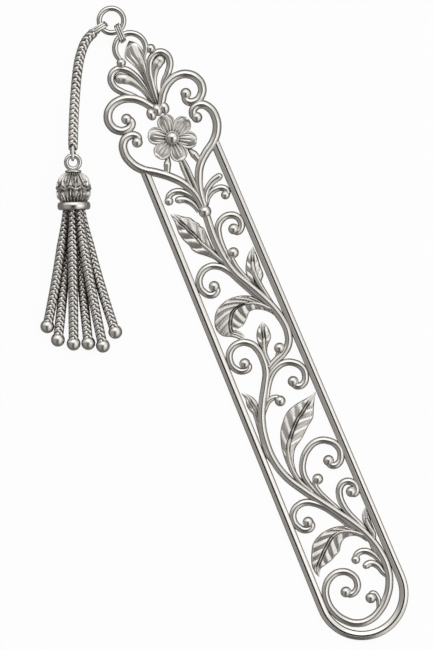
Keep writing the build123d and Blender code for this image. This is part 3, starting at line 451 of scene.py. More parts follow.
# Tassel: the drops are measured down from the middle of the eye
TASSEL_HEADING = math.radians(248.6)
EYE_RADIUS = 1.33 * MM
EYE_WIRE = 0.95 * MM
NECK_TOP = 1.5675 * MM
NECK_FOOT = 2.1175 * MM
NECK_RADIUS = 1.65 * MM
NECK_ROUND = 0.28 * MM
NECK_BORE = 0.3 * MM
NECK_STEPS = 8
NECK_TURNS = 48
CAP_FOOT = 7.9175 * MM
CAP_RADIUS = 3.66 * MM
CAP_WALL = 0.675 * MM
CAP_ROOF = 0.225 * MM
CAP_INSIDE_STRIDE = 4
CAP_STEPS = 44
CAP_TURNS = 240
# The cap's bulge, as shares of its length and radius
BULGE_PLACE = 0.56
BULGE_REACH = 0.62
BULGE_LEAST = 0.1
BULGE_SHARE = 0.86
# Carving of the cap: heights in millimetres over a sunk ground, places as shares
CARVED_GROUND = -0.42
CAP_LEAVES = 9
BAND_PLACE = 0.53
BAND_WAVE = 0.035
BAND_SPREAD = 0.052
BAND_HEIGHT = 0.52
# Arches and small leaves: start, end, turn against the first arch, and fullness
CARVED_ROWS = ((-0.05, 0.49, 0.5, 4), (1.0, 0.6, 0, 2))
CARVED_SPAN = 0.92
# What stands up in them: the height of each, and its places and spreads across and along
EDGE_HEIGHT = 0.5
EDGE_ACROSS = (0.76, 0.2)
HEART_HEIGHT = 0.56
HEART_ACROSS = (0, 0.2)
HEART_ALONG = (0.4, 0.4)
CURL_HEIGHT = 0.5
CURLS_ACROSS = (0.42, 0.13)
CURLS_ALONG = ((0.2, 0.13), (0.62, 0.14))
RIM_RADIUS = 3.3 * MM
RIM_FOOT = 9.4675 * MM
RIM_ROUND = 0.42 * MM
RIM_BORE = 2.85 * MM
RIM_STEPS = 12
RIM_TURNS = 72
TASSEL_DROP = 36.7 * MM
TASSEL_SPREAD = 13.8 * MM

# Strands: how they bend, and how far they are drawn in and pressed aside where they leave the rim
STRANDS = 6
STRAND_PITCH = 1.0 * MM
STRAND_STEPS = 40
STRAND_BEND = 0.6
STRAND_FLARE_SHARE = 0.35
BALL_COLLAR_RADIUS = 0.62 * MM
BALL_COLLAR_WIRE = 0.48 * MM
BALL_COLLAR_PLACE = 0.9
BALL_SEGMENTS = 32
BALL_RINGS = 20
MOUTH_GIRTH = 0.54
MOUTH_ROWS = 15
MOUTH_SHIFTS = (0.15 * MM, -0.1 * MM, 0.6 * MM, -0.5 * MM, 0.15 * MM, -0.15 * MM)
# The tassel's own ways, and the middle of its eye
DOWN = Vector((math.cos(TASSEL_HEADING), math.sin(TASSEL_HEADING), 0))
ASIDE = UP.cross(DOWN)
EYE_CENTRE = PIVOTS["tassel"] + DOWN * EYE_RADIUS

# Camera: the place on the table in the middle of the picture, the roll, and the height of table that shows
VIEW_MIDDLE = Vector((-6.15 * MM, 69.62 * MM, 0))
VIEW_ROLL = math.radians(-22.63)
VIEW_HEIGHT = 130.0 * MM
SENSOR = 36.0
CLIP_START = 0.01
# The picture's right and top, as ways on the table
PICTURE_RIGHT = Vector((math.cos(VIEW_ROLL), math.sin(VIEW_ROLL), 0))
PICTURE_TOP = UP.cross(PICTURE_RIGHT)
# Table and lamps: level and size, and where the lamps hang from the middle of the picture
TABLE_LEVEL = -0.05 * MM
TABLE_SIZE = 3
KEY_PLACE = PICTURE_TOP * 0.5 + UP * 0.6
KEY_SIZE = 0.6
FILL_PLACE = PICTURE_RIGHT * 0.5 + UP * 0.55
FILL_SIZE = 0.45
# Paper as it is, as it glows to the camera, and as the silver mirrors it, with the shares of the glow
PAPER = (0.86, 0.86, 0.85, 1)
PAPER_SEEN = (1, 1, 1, 1)
PAPER_MIRRORED = (0.15, 0.145, 0.14, 1)
SEEN_SHARE = 0.95
MIRRORED_SHARE = 0.86
# Studio: where a window or cloth starts and is full along the picture's top or right, and its two levels
WINDOW = (-0.02, 0.52, 0.0, 1.12)
RIGHT_CLOTH = (0.06, 0.46, 0.0, 0.92)
LEFT_CLOTH = (-0.1, -0.55, 0.0, 0.36)
BOTTOM_CLOTH = (-0.3, -0.65, 0.0, 0.1)
# The same along the height: the cloths fade towards the table, and the walls glow there
CLOTH_FADE = (0.0, 0.4, 0.3, 1.0)
WALLS = (0.35, 0.0, 0.0, 0.08)
ROOM_LEVEL = 0.04


class BookmarkSizes(bpy.types.PropertyGroup):
    """Sizes of the dressed pieces."""

    stem_width: FloatProperty(name="Stem width", description="Width of the vine's two stems",
                              default=1.62 * MM, unit="LENGTH")
    scroll_width: FloatProperty(name="Scroll width", description="Width of the vine's scrolls",
                                default=1.46 * MM, unit="LENGTH")
    bead_radius: FloatProperty(name="Bead radius", description="Radius of the bead on a scroll's end",
                               default=1.1 * MM, unit="LENGTH")
    chain_width: FloatProperty(name="Chain width", description="Width of the plaited chain",
                               default=2.35 * MM, unit="LENGTH")
    strand_width: FloatProperty(name="Strand width", description="Width of a tassel strand",
                                default=2.35 * MM, unit="LENGTH")
    ball_radius: FloatProperty(name="Ball radius", description="Radius of the ball on a strand's end",
                               default=1.4 * MM, unit="LENGTH")


class BookmarkFinish(bpy.types.PropertyGroup):
    """Colours and polish of the silver."""

    silver: FloatVectorProperty(name="Silver", description="Colour of the rubbed silver",
                                subtype="COLOR", default=(0.72, 0.69, 0.65))
    # Dark colour of the oxidised hollows, also used as painted shade between parts and where the silver comes
    # near the table
    patina_and_shade: FloatVectorProperty(name="Patina", description="Colour of the oxidised recesses",
                                subtype="COLOR", default=(0.055, 0.048, 0.042))
    roughness: FloatProperty(name="Roughness", description="Roughness of the rubbed silver",
                             default=0.2, min=0, max=1)
    # How far the occlusion darkening reaches: patina out of a recess, and painted shade near other parts and
    # the table
    patina_and_shade_reach: FloatProperty(name="Patina reach", description="How far the patina comes out of a recess",
                                default=0.9 * MM, unit="LENGTH")


class BookmarkStage(bpy.types.PropertyGroup):
    """Camera and light."""

    camera_height: FloatProperty(name="Camera height", description="Height of the camera over the table",
                                 default=1.2, unit="LENGTH")
    key_power: FloatProperty(name="Key light", description="Power of the key light",
                             default=0.7, unit="POWER")
    fill_power: FloatProperty(name="Fill light", description="Power of the fill light",
                              default=0.35, unit="POWER")


def clamped(value, low=0, high=1):
    """Keeps a value between two others."""
    return min(max(value, low), high)


def at(share, height=0.0):
    """Turns a point of the pattern into its place on the blade."""
    along = (share[1] - FIELD_FOOT_SHARE) * FIELD_LENGTH - FOOT_EDGE
    climb = clamped((along - BOW_CENTRE) / (RAIL_LENGTH - END_RADIUS))
    end_width = FRAME_END_WIDTH / FRAME_END_WIDTH_SHARE
    top_width = FRAME_TOP_WIDTH / FRAME_TOP_WIDTH_SHARE
    return Vector((share[0] * (end_width + (top_width - end_width) * climb), along, height))


def drawn(shares):
    """Turns a line of the pattern into its places on the blade."""
    return [at(share) for share in shares]


def laid(x_way, y_way, z_way, middle):
    """Gives the matrix that lays a piece's own three ways along these, about a place."""
    matrix = Matrix((x_way, y_way, z_way)).transposed().to_4x4()
    matrix.translation = middle
    return matrix


def only(*objects):
    """Selects these objects alone and makes the first one active."""
    bpy.ops.object.select_all(action="DESELECT")
    for obj in objects:
        obj.select_set(True)
    bpy.context.view_layer.objects.active = objects[0]


def joined(*objects):
    """Joins objects into the first one."""
    only(*objects)
    if len(objects) > 1:
        bpy.ops.object.join()
    return bpy.context.object


def hand_over(obj, body, finish, *nodes):
    """Names and smooths a finished piece, gives it its silver and lets it ride on its body."""
    obj.name = obj.data.name = f"silver_{nodes[0]}"
    only(obj)
    bpy.ops.object.mode_set(mode="EDIT")
    bpy.ops.mesh.select_all(action="SELECT")
    bpy.ops.mesh.normals_make_consistent(inside=False)
    bpy.ops.object.mode_set(mode="OBJECT")
    bpy.ops.object.shade_smooth_by_angle(angle=SMOOTH_ANGLE)
    obj.data.materials.clear()
    obj.data.materials.append(silver(finish))
    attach(obj, body)
    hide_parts(*nodes)


def section_curve(width, height, outline):
    """Draws a wire's section from a whole outline, or from a right half that ends on the middle."""
    shares = list(outline)
    if outline[-1][0] == 0:
        shares += [(-across, up) for across, up in reversed(outline[:-1])]
    bpy.ops.object.select_all(action="DESELECT")
    bpy.ops.curve.primitive_bezier_circle_add(location=(0, 0, 0))
    section = bpy.context.object
    section.data.splines.clear()
    spline = section.data.splines.new("POLY")
    spline.points.add(len(shares) - 1)
    spline.use_cyclic_u = True
    for point, (across, up) in zip(spline.points, shares):
        point.co = (across * width, up * height, 0, 1)
    return section


def wire(points, width, height, swell=(1, 1), shares=RIDGE_SHARES):
    """Bends a wire through points. Its girth goes from the first share of swell to the last."""
    section = section_curve(width, height, shares)
    bpy.ops.object.select_all(action="DESELECT")
    bpy.ops.curve.primitive_bezier_curve_add(location=(0, 0, 0))
    obj = bpy.context.object
    curve = obj.data
    spline = curve.splines[0]
    spline.bezier_points.add(len(points) - 2)
    for count, (knot, point) in enumerate(zip(spline.bezier_points, points)):
        place = count / (len(points) - 1) * (len(swell) - 1)
        low = min(int(place), len(swell) - 2)
        knot.co = point
        knot.handle_left_type = knot.handle_right_type = "AUTO"
        knot.radius = swell[low] + (swell[low + 1] - swell[low]) * (place - low)
    curve.dimensions = "3D"
    curve.twist_mode = "Z_UP"
    curve.resolution_u = WIRE_STEPS
    curve.bevel_mode = "OBJECT"
    curve.bevel_object = section
    curve.use_fill_caps = True
    bpy.ops.object.convert(target="MESH")
    bpy.data.objects.remove(section)
    return bpy.context.object


def bead(centre, radius, height):
    """Turns a bead whose foot is filed flat on the back plane."""
    bpy.ops.object.select_all(action="DESELECT")
    middle = Vector((centre.x, centre.y, height - radius))
    bpy.ops.mesh.primitive_uv_sphere_add(
        segments=BEAD_SEGMENTS, ring_count=BEAD_RINGS, radius=radius, location=middle)
    bpy.ops.object.transform_apply(location=True, rotation=False, scale=False)
    obj = bpy.context.object
    bpy.ops.object.mode_set(mode="EDIT")
    bpy.ops.mesh.select_all(action="SELECT")
    bpy.ops.mesh.bisect(
        plane_co=(0, 0, 0), plane_no=(0, 0, 1), use_fill=True, clear_inner=True, threshold=CUT_THRESHOLD)
    bpy.ops.object.mode_set(mode="OBJECT")
    return obj


def rounded_end(points):
    """Adds a point to a wire's last bend, so that it goes round its bead in an arc."""
    before, here, last = points[-3:]
    way = last - here
    angle = (here - before).xy.angle_signed(way.xy)
    outward = way.cross(UP) * (-math.tan(angle / 4) / 2)
    return [*points[:-1], (here + last) / 2 + outward, last]


def balled_wire(shares, width, height, radius, bead_height, swell=ROOT_SWELL):
    """Bends a wire whose last point carries a bead."""
    points = rounded_end(drawn(shares))
    return joined(wire(points, width, height, swell), bead(points[-1], radius, bead_height))


def line_length(line):
    """Measures along a line of points."""
    return sum((after - before).length for before, after in zip(line, line[1:]))


def smooth_line(points, count):
    """Gives equally spaced places on a smooth line through points."""
    padded = [points[0] * 2 - points[1], *points, points[-1] * 2 - points[-2]]
    fine = []
    for p0, p1, p2, p3 in zip(padded, padded[1:], padded[2:], padded[3:]):
        for step in range(SPLINE_STEPS):
            t = step / SPLINE_STEPS
            a = p1 * 2 + (p2 - p0) * t
            b = (p0 * 2 - p1 * 5 + p2 * 4 - p3) * t * t
            c = (p1 * 3 - p0 - p2 * 3 + p3) * t ** 3
            fine.append((a + b + c) / 2)
    fine.append(points[-1].copy())
    lengths = [0.0]
    for before, after in zip(fine, fine[1:]):
        lengths.append(lengths[-1] + (after - before).length)
    places = []
    index = 0
    for step in range(count):
        goal = lengths[-1] * step / (count - 1)
        while index < len(lengths) - 2 and lengths[index + 1] < goal:
            index += 1
        span = lengths[index + 1] - lengths[index]
        places.append(fine[index].lerp(fine[index + 1], (goal - lengths[index]) / span if span else 0))
    return places


def plate(rows, columns, place):
    """Shapes a grid into a chased plate with a flat back. place gives each point from two shares."""
    bpy.ops.object.select_all(action="DESELECT")
    bpy.ops.mesh.primitive_grid_add(
        x_subdivisions=columns, y_subdivisions=rows, size=1, location=(0, 0, 0))
    obj = bpy.context.object
    for vertex in obj.data.vertices:
        vertex.co = place(vertex.co.y + 0.5, vertex.co.x * 2)
    bpy.ops.object.mode_set(mode="EDIT")
    bpy.ops.mesh.select_all(action="SELECT")
    bpy.ops.mesh.extrude_region_move(TRANSFORM_OT_translate={"value": (0, 0, -1)})
    bpy.ops.transform.resize(value=(1, 1, 0), center_override=(0, 0, 0))
    bpy.ops.mesh.select_all(action="SELECT")
    bpy.ops.mesh.remove_doubles(threshold=MERGE_DISTANCE)
    bpy.ops.object.mode_set(mode="OBJECT")
    return obj


def bump_at(value, middle, spread):
    """A smooth bump of height one."""
    return math.exp(-((value - middle) / spread) ** 2)


def leaf_sides(outline, foot):
    """Gives the two sides of a leaf from its tip to its foot."""
    places = drawn(outline)
    sides = places[:foot + 1], [places[0], *reversed(places[foot:])]
    return [smooth_line(side, LEAF_ROWS + 1) for side in sides]


def leaf_blade(outline, foot):
    """Chases one leaf: a dome with a turned-up edge, a rib in a groove and cells between its veins."""
    left, right = leaf_sides(outline, foot)
    length = line_length(left)
    pitch = length / max(round(length / VEIN_PITCH), LEAST_VEINS)

    def place(along, across):
        row = min(int(along * LEAF_ROWS + 0.5), LEAF_ROWS)
        point = left[row].lerp(right[row], (across + 1) / 2)
        half = (left[row] - right[row]).length / 2
        girth = min(2 * half / LEAF_RELIEF_WIDTH, 1)
        from_rib = abs(across) * half
        from_edge = (1 - abs(across)) * half
        phase = (along * length + from_rib * VEIN_SLOPE) / pitch
        body = clamped((from_rib - RIB_WIDTH) / RIB_WIDTH) * min(from_edge / RIM_WIDTH, 1)
        cells = body * abs(math.sin(math.pi * phase)) ** CELL_POWER
        rim = bump_at(from_edge, RIM_WIDTH / 2, RIM_WIDTH / 2)
        groove = bump_at(from_rib, RIB_WIDTH, RIB_WIDTH / 2)
        dome = DOME_SHARE * (1 - across ** 2) ** DOME_POWER
        chasing = CELL_SHARE * cells + RIM_SHARE * rim - GROOVE_SHARE * groove - RELIEF_SINK
        point.z = LEAF_EDGE + LEAF_RELIEF * girth * (dome + girth * chasing)
        return point

    return plate(LEAF_ROWS, LEAF_COLUMNS, place)


def leaf_stalk(name, outline, foot):
    """Draws a leaf's stalk out of its blade and along the stem."""
    left, right = leaf_sides(outline, foot)
    start, end, beyond = LEAF_STALKS[name]
    points = []
    for step in range(STALK_STEPS + 1):
        row = round((start + (end - start) * step / STALK_STEPS) * LEAF_ROWS)
        points.append(left[row].lerp(right[row], 0.5))
    return wire(points + drawn(beyond), STALK_WIDTH, STALK_HEIGHT, STALK_SWELL)


def palmette_blade(outline, foot):
    """Chases the palmette: two facets with ribs that run together in the foot."""
    left, right = leaf_sides(outline, foot)

    def place(along, across):
        row = min(int(along * LEAF_ROWS + 0.5), LEAF_ROWS)
        point = left[row].lerp(right[row], (across + 1) / 2)
        girth = min((left[row] - right[row]).length / LEAF_RELIEF_WIDTH, 1)
        facets = FACET_SHARE * (1 - abs(across - PALMETTE_RIDGE)) + FACET_LIFT
        bumps = sum(bump_at(across, line, PALMETTE_RIB_SPREAD) for line in PALMETTE_RIBS)
        reach = clamped((along - PALMETTE_RIB_START) / PALMETTE_RIB_FADE)
        ribs = (PALMETTE_RIB_SHARE * bumps - PALMETTE_RIB_SINK) * reach
        point.z = LEAF_EDGE + PALMETTE_RISE * along
        point.z += LEAF_RELIEF * (girth * facets + min(girth * PALMETTE_RIB_GIRTH, 1) * ribs)
        return point

    return plate(LEAF_ROWS, PALMETTE_COLUMNS, place)


def petal(centre, angle):
    """Chases one petal: a dome with a raised edge and three grooves."""
    way = Vector((math.cos(angle), math.sin(angle), 0))
    side = UP.cross(way)

    def place(along, across):
        if along > PETAL_BROADEST:
            width = math.sqrt(max(1 - ((along - PETAL_BROADEST) / PETAL_TIP) ** 2, 0))
        else:
            widening = math.sin(math.pi / 2 * along / PETAL_BROADEST)
            width = PETAL_FOOT_SHARE + (1 - PETAL_FOOT_SHARE) * widening
        width *= PETAL_WIDTH
        from_edge = min((1 - abs(across)) * width, (1 - along) * PETAL_REACH)
        height = PETAL_EDGE + PETAL_DOME * (1 - across ** 2)
        height += PETAL_RIM * bump_at(from_edge, PETAL_RIM_PLACE, PETAL_RIM_SPREAD)
        grooves = sum(bump_at(across, line, PETAL_GROOVE_SPREAD) for line in PETAL_GROOVES)
        groove_end = PETAL_GROOVE_END - PETAL_GROOVE_FALL * abs(across)
        height -= PETAL_GROOVE_DEPTH * grooves * clamped((groove_end - along) / PETAL_GROOVE_FADE)
        reach = PETAL_START + PETAL_REACH * along
        return centre + way * reach + side * (width * across) + UP * (height * MM)

    return plate(PETAL_ROWS, PETAL_COLUMNS, place)


def ring_of_wire(matrix, path, girth, turns, sides):
    """Bends a torus to a closed path in a plane. path gives a point and an outward way for an angle."""
    bpy.ops.object.select_all(action="DESELECT")
    bpy.ops.mesh.primitive_torus_add(
        major_segments=turns, minor_segments=sides, major_radius=2, minor_radius=1, location=(0, 0, 0))
    obj = bpy.context.object
    for vertex in obj.data.vertices:
        angle = math.atan2(vertex.co.y, vertex.co.x)
        point, outward = path(angle)
        lift = math.hypot(vertex.co.x, vertex.co.y) - 2
        vertex.co = matrix @ Vector((*(point + outward * (lift * girth / 2)), vertex.co.z * girth / 2))
    return obj


def circle_path(radius):
    """A round path for ring_of_wire."""
    def path(angle):
        outward = Vector((math.cos(angle), math.sin(angle)))
        return outward * radius, outward
    return path


def oval_path(reach, radius):
    """A racetrack path for ring_of_wire, with its straight sides along X."""
    def path(angle):
        outward = Vector((math.cos(angle), math.sin(angle)))
        side = clamped(outward.x * OVAL_TURN, -1, 1)
        return outward * radius + Vector((reach * side, 0)), outward
    return path


def wound(middle, way, reach, slant):
    """Winds a link's wire a few times round two things, longer in the middle."""
    across = way.cross(UP).normalized()
    turns = []
    for number in range(WINDINGS):
        share = (number + 0.5) / WINDINGS - 0.5
        spot = middle + across * (share * WINDINGS * LINK_WIRE)
        stretch = LINK_WIRE * (MIDDLE_STRETCH - STRETCH_FALL * abs(share))
        path = oval_path(reach + stretch, LINK_BORE + LINK_WIRE / 2)
        matrix = laid(way + across * slant, -UP, across, spot)
        turns.append(ring_of_wire(matrix, path, LINK_WIRE, *LINK_FACETS))
    return joined(*turns)


def spun(outline, turns, relief=None):
    """Turns a closed outline of radius and drop about the tassel's axis, with relief where it is given."""
    bpy.ops.object.select_all(action="DESELECT")
    bpy.ops.mesh.primitive_torus_add(major_segments=turns, minor_segments=len(outline), location=(0, 0, 0))
    obj = bpy.context.object
    for number, vertex in enumerate(obj.data.vertices):
        turn, row = divmod(number, len(outline))
        radius, drop = outline[row]
        angle = 2 * math.pi * turn / turns
        if relief:
            radius += relief(angle, row)
        side = ASIDE * (radius * math.cos(angle)) + UP * (radius * math.sin(angle))
        vertex.co = EYE_CENTRE + side + DOWN * drop
    return obj


class Shade:
    """A shader value whose arithmetic adds Math nodes."""

    def __init__(self, recipe, socket):
        self.recipe = recipe
        self.socket = socket

    def math(self, operation, first, second):
        node = self.recipe.node("ShaderNodeMath", {"operation": operation})
        self.recipe.feed(node.inputs[0], first)
        self.recipe.feed(node.inputs[1], second)
        return Shade(self.recipe, node.outputs[0])

    def __add__(self, other):
        return self.math("ADD", self, other)

    def __radd__(self, other):
        return self.math("ADD", other, self)

    def __sub__(self, other):
        return self.math("SUBTRACT", self, other)

    def __rsub__(self, other):
        return self.math("SUBTRACT", other, self)

    def __mul__(self, other):
        return self.math("MULTIPLY", self, other)

    def __rmul__(self, other):
        return self.math("MULTIPLY", other, self)

    def most(self, other):
        return self.math("MAXIMUM", self, other)


class Recipe:
    """Adds nodes to one node tree."""

    def __init__(self, tree):
        self.tree = tree
        tree.nodes.clear()

    def feed(self, socket, value):
        if isinstance(value, Shade):
            self.tree.links.new(value.socket, socket)
        else:
            socket.default_value = value

    def node(self, kind, settings=None, **values):
        made = self.tree.nodes.new(kind)
        for name, value in (settings or {}).items():
            setattr(made, name, value)
        for name, value in values.items():
            self.feed(made.inputs[name.replace("_", " ")], value)
        return made

    def value(self, kind, output, settings=None, **values):
        return Shade(self, self.node(kind, settings, **values).outputs[output])

    def rise(self, value, low, high, start, end):
        """Goes smoothly from start at low to end at high."""
        return self.value(
            "ShaderNodeMapRange", "Result", {"interpolation_type": "SMOOTHSTEP"},
            Value=value, From_Min=low, From_Max=high, To_Min=start, To_Max=end,
        )

    def mix(self, factor, first, second):
        made = self.node("ShaderNodeMix", {"data_type": "RGBA"})
        for index, value in ((0, factor), (6, first), (7, second)):
            self.feed(made.inputs[index], value)
        return Shade(self, made.outputs[2])


# Finishes: shares of patina and painted shade, roughness and bumps, and how open a place is where patina and
# painted shade end and silver starts
FINISHES = {
    "rubbed": (0.85, 1.1, 0.3, 0.34, 0.8),
    "polished": (0.6, 0.8, 0.15, 0.2, 0.62),
    "chased": (0.9, 1.8, 0.4, 0.42, 0.84),
    "plaited": (0.95, 1.3, 0.3, 0.48, 0.9),
    "carved": (1.0, 1.2, 0.3, 0.4, 0.82),
}
# Clouds, scratches and pits in the silver: their scales, and what they do to colour, polish and height
CLOUD_SCALE = 900.0
CLOUD_DETAIL = 4.0
SCRATCH_SCALE = 5200.0
SCRATCH_DETAIL = 3.0
PIT_SCALE = 2100.0
NOISE_ROUGHNESS = 0.6
CLOUD_ON_PATINA_AND_SHADE = 0.2
CLOUD_ON_SILVER = 0.5
CLOUDED_SHARE = 0.82
CLOUD_ON_ROUGHNESS = 0.12
# Roughness and metalness where patina and painted shade darken the silver, and the samples of the occlusion
# that finds them
PATINA_AND_SHADE_ROUGHNESS = 0.3
PATINA_AND_SHADE_METALLIC = 0.7
PATINA_AND_SHADE_SAMPLES = 12
SCRATCH_HEIGHT = 0.25
PIT_HEIGHT = 0.3
BUMP_STRENGTH = 0.1
BUMP_DISTANCE = 0.06 * MM


def silver(finish):
    """Antiqued silver: rubbed bright where it stands proud, dark with patina in hollows where cloth doesn't
    reach, and darkened by painted shade between parts and where it comes near the table.
    """
    name = f"antique_silver_{finish}"
    if name in bpy.data.materials:
        return bpy.data.materials[name]
    looks = bpy.context.scene.bookmark_finish
    patina_and_shade_share, rough_share, bump_share, dark_end, bright_start = FINISHES[finish]
    material = bpy.data.materials.new(name)
    material.use_nodes = True
    recipe = Recipe(material.node_tree)
    place = recipe.value("ShaderNodeTexCoord", "Object")
    cloud, scratches = [
        recipe.value("ShaderNodeTexNoise", "Fac", Vector=place, Scale=scale, Detail=detail,
                     Roughness=NOISE_ROUGHNESS)
        for scale, detail in ((CLOUD_SCALE, CLOUD_DETAIL), (SCRATCH_SCALE, SCRATCH_DETAIL))
    ]
    pits = recipe.value("ShaderNodeTexVoronoi", "Distance", Vector=place, Scale=PIT_SCALE)
    # Patina and painted shade: ambient occlusion, which also sees the table, darkens the silver towards the
    # patina colour in hollows, between parts and next to the table
    openness = recipe.value("ShaderNodeAmbientOcclusion", "AO", {"samples": PATINA_AND_SHADE_SAMPLES},
                            Distance=looks.patina_and_shade_reach)
    openness = openness + (cloud - 0.5) * CLOUD_ON_PATINA_AND_SHADE
    clean_and_unshaded = recipe.rise(openness, dark_end, bright_start, 1 - patina_and_shade_share, 1.0)
    clouded = [level * CLOUDED_SHARE for level in looks.silver]
    bright = recipe.mix(cloud * CLOUD_ON_SILVER, (*looks.silver, 1), (*clouded, 1))
    colour = recipe.mix(clean_and_unshaded, (*looks.patina_and_shade, 1), bright)
    rough = looks.roughness * rough_share + (1 - clean_and_unshaded) * PATINA_AND_SHADE_ROUGHNESS
    rough = rough + (cloud - 0.5) * CLOUD_ON_ROUGHNESS
    metallic = PATINA_AND_SHADE_METALLIC + clean_and_unshaded * (1 - PATINA_AND_SHADE_METALLIC)
    height = scratches * SCRATCH_HEIGHT + cloud + pits * PIT_HEIGHT
    bump = recipe.value("ShaderNodeBump", "Normal", Strength=BUMP_STRENGTH * bump_share,
                        Distance=BUMP_DISTANCE, Height=height)
    metal = recipe.node("ShaderNodeBsdfPrincipled", Base_Color=colour, Roughness=rough, Metallic=metallic,
                        Normal=bump)
    output = recipe.node("ShaderNodeOutputMaterial")
    material.node_tree.links.new(metal.outputs[0], output.inputs["Surface"])
    return material


class BOOKMARK_OT_frame(bpy.types.Operator):
    """Draw the twin wires of the U-shaped frame"""
    bl_idname = "bookmark.frame"
    bl_label = "Frame wires"

    def execute(self, context):
        lean = math.atan2((FRAME_END_WIDTH - FRAME_TOP_WIDTH) / 2, RAIL_LENGTH - END_RADIUS)
        edges = (
            ("outer_frame_wire", 0, OUTER_WIRE_WIDTH, OUTER_WIRE_HEIGHT, -1),
            ("inner_frame_wire", OUTER_WIRE_WIDTH, INNER_WIRE_WIDTH, INNER_WIRE_HEIGHT, 1),
        )
        for name, inset, width, height, turn in edges:
            section = [(across * turn, up) for across, up in RAIL_SHARES]
            radius = END_RADIUS - inset - width / 2
            bow = []
            for step in range(BOW_STEPS + 1):
                angle = math.pi - lean + (math.pi + 2 * lean) * step / BOW_STEPS
                bow.append(Vector((radius * math.cos(angle), BOW_CENTRE + radius * math.sin(angle), 0)))
            rail = Matrix.Rotation(-lean, 3, "Z") @ Vector((0, RAIL_LENGTH - END_RADIUS + RAIL_TUCK, 0))
            left = [bow[0] + rail * share for share in RAIL_KNOTS]
            right = [bow[-1] + Vector((-rail.x, rail.y, 0)) * share for share in RAIL_KNOTS]
            rails = wire([*reversed(left), *bow, *right], width, height, shares=section)
            hand_over(rails, "blade", "rubbed", name)
        return {"FINISHED"}


class BOOKMARK_OT_vine(bpy.types.Operator):
    """Bend the vine's stems, scrolls and tendrils"""
    bl_idname = "bookmark.vine"
    bl_label = "Vine"

    def execute(self, context):
        sizes = context.scene.bookmark_sizes
        stem = wire(drawn(UPPER_STEM_SHARES), sizes.stem_width, STEM_HEIGHT, UPPER_STEM_SWELL)
        hand_over(stem, "blade", "rubbed", "upper_stem")
        stem = balled_wire(LOWER_STEM_SHARES, sizes.stem_width, STEM_HEIGHT, sizes.bead_radius, BEAD_HEIGHT,
                           LOWER_STEM_SWELL)
        first = bead(at(LOWER_STEM_SHARES[0]), sizes.bead_radius, BEAD_HEIGHT)
        hand_over(joined(stem, first), "blade", "rubbed", "lower_stem")
        for table, width, height in (
            (SCROLL_SHARES, sizes.scroll_width, SCROLL_HEIGHT),
            (TENDRIL_SHARES, TENDRIL_WIDTH, TENDRIL_HEIGHT),
        ):
            for name, shares in table.items():
                curl = balled_wire(shares, width, height, sizes.bead_radius, BEAD_HEIGHT)
                hand_over(curl, "blade", "rubbed", name)
        for name, shares in SPRIG_HOOK_SHARES.items():
            hook = balled_wire(shares, SPRIG_WIDTH, TENDRIL_HEIGHT, SMALL_BEAD_RADIUS, SMALL_BEAD_HEIGHT)
            lobe = balled_wire(SPRIG_LOBE_SHARES[name], SPRIG_WIDTH, TENDRIL_HEIGHT, LOBE_TIP_RADIUS,
                               LOBE_TIP_HEIGHT, SPRIG_LOBE_SWELL)
            hand_over(joined(hook, lobe), "blade", "rubbed", name)
        return {"FINISHED"}


class BOOKMARK_OT_leaves(bpy.types.Operator):
    """Chase the leaves"""
    bl_idname = "bookmark.leaves"
    bl_label = "Leaves"

    def execute(self, context):
        for name, (outline, foot) in LEAF_OUTLINES.items():
            if name == "palmette_leaf":
                hand_over(palmette_blade(outline, foot), "blade", "rubbed", name)
            else:
                blade = joined(leaf_blade(outline, foot), leaf_stalk(name, outline, foot))
                hand_over(blade, "blade", "chased", name)
        return {"FINISHED"}


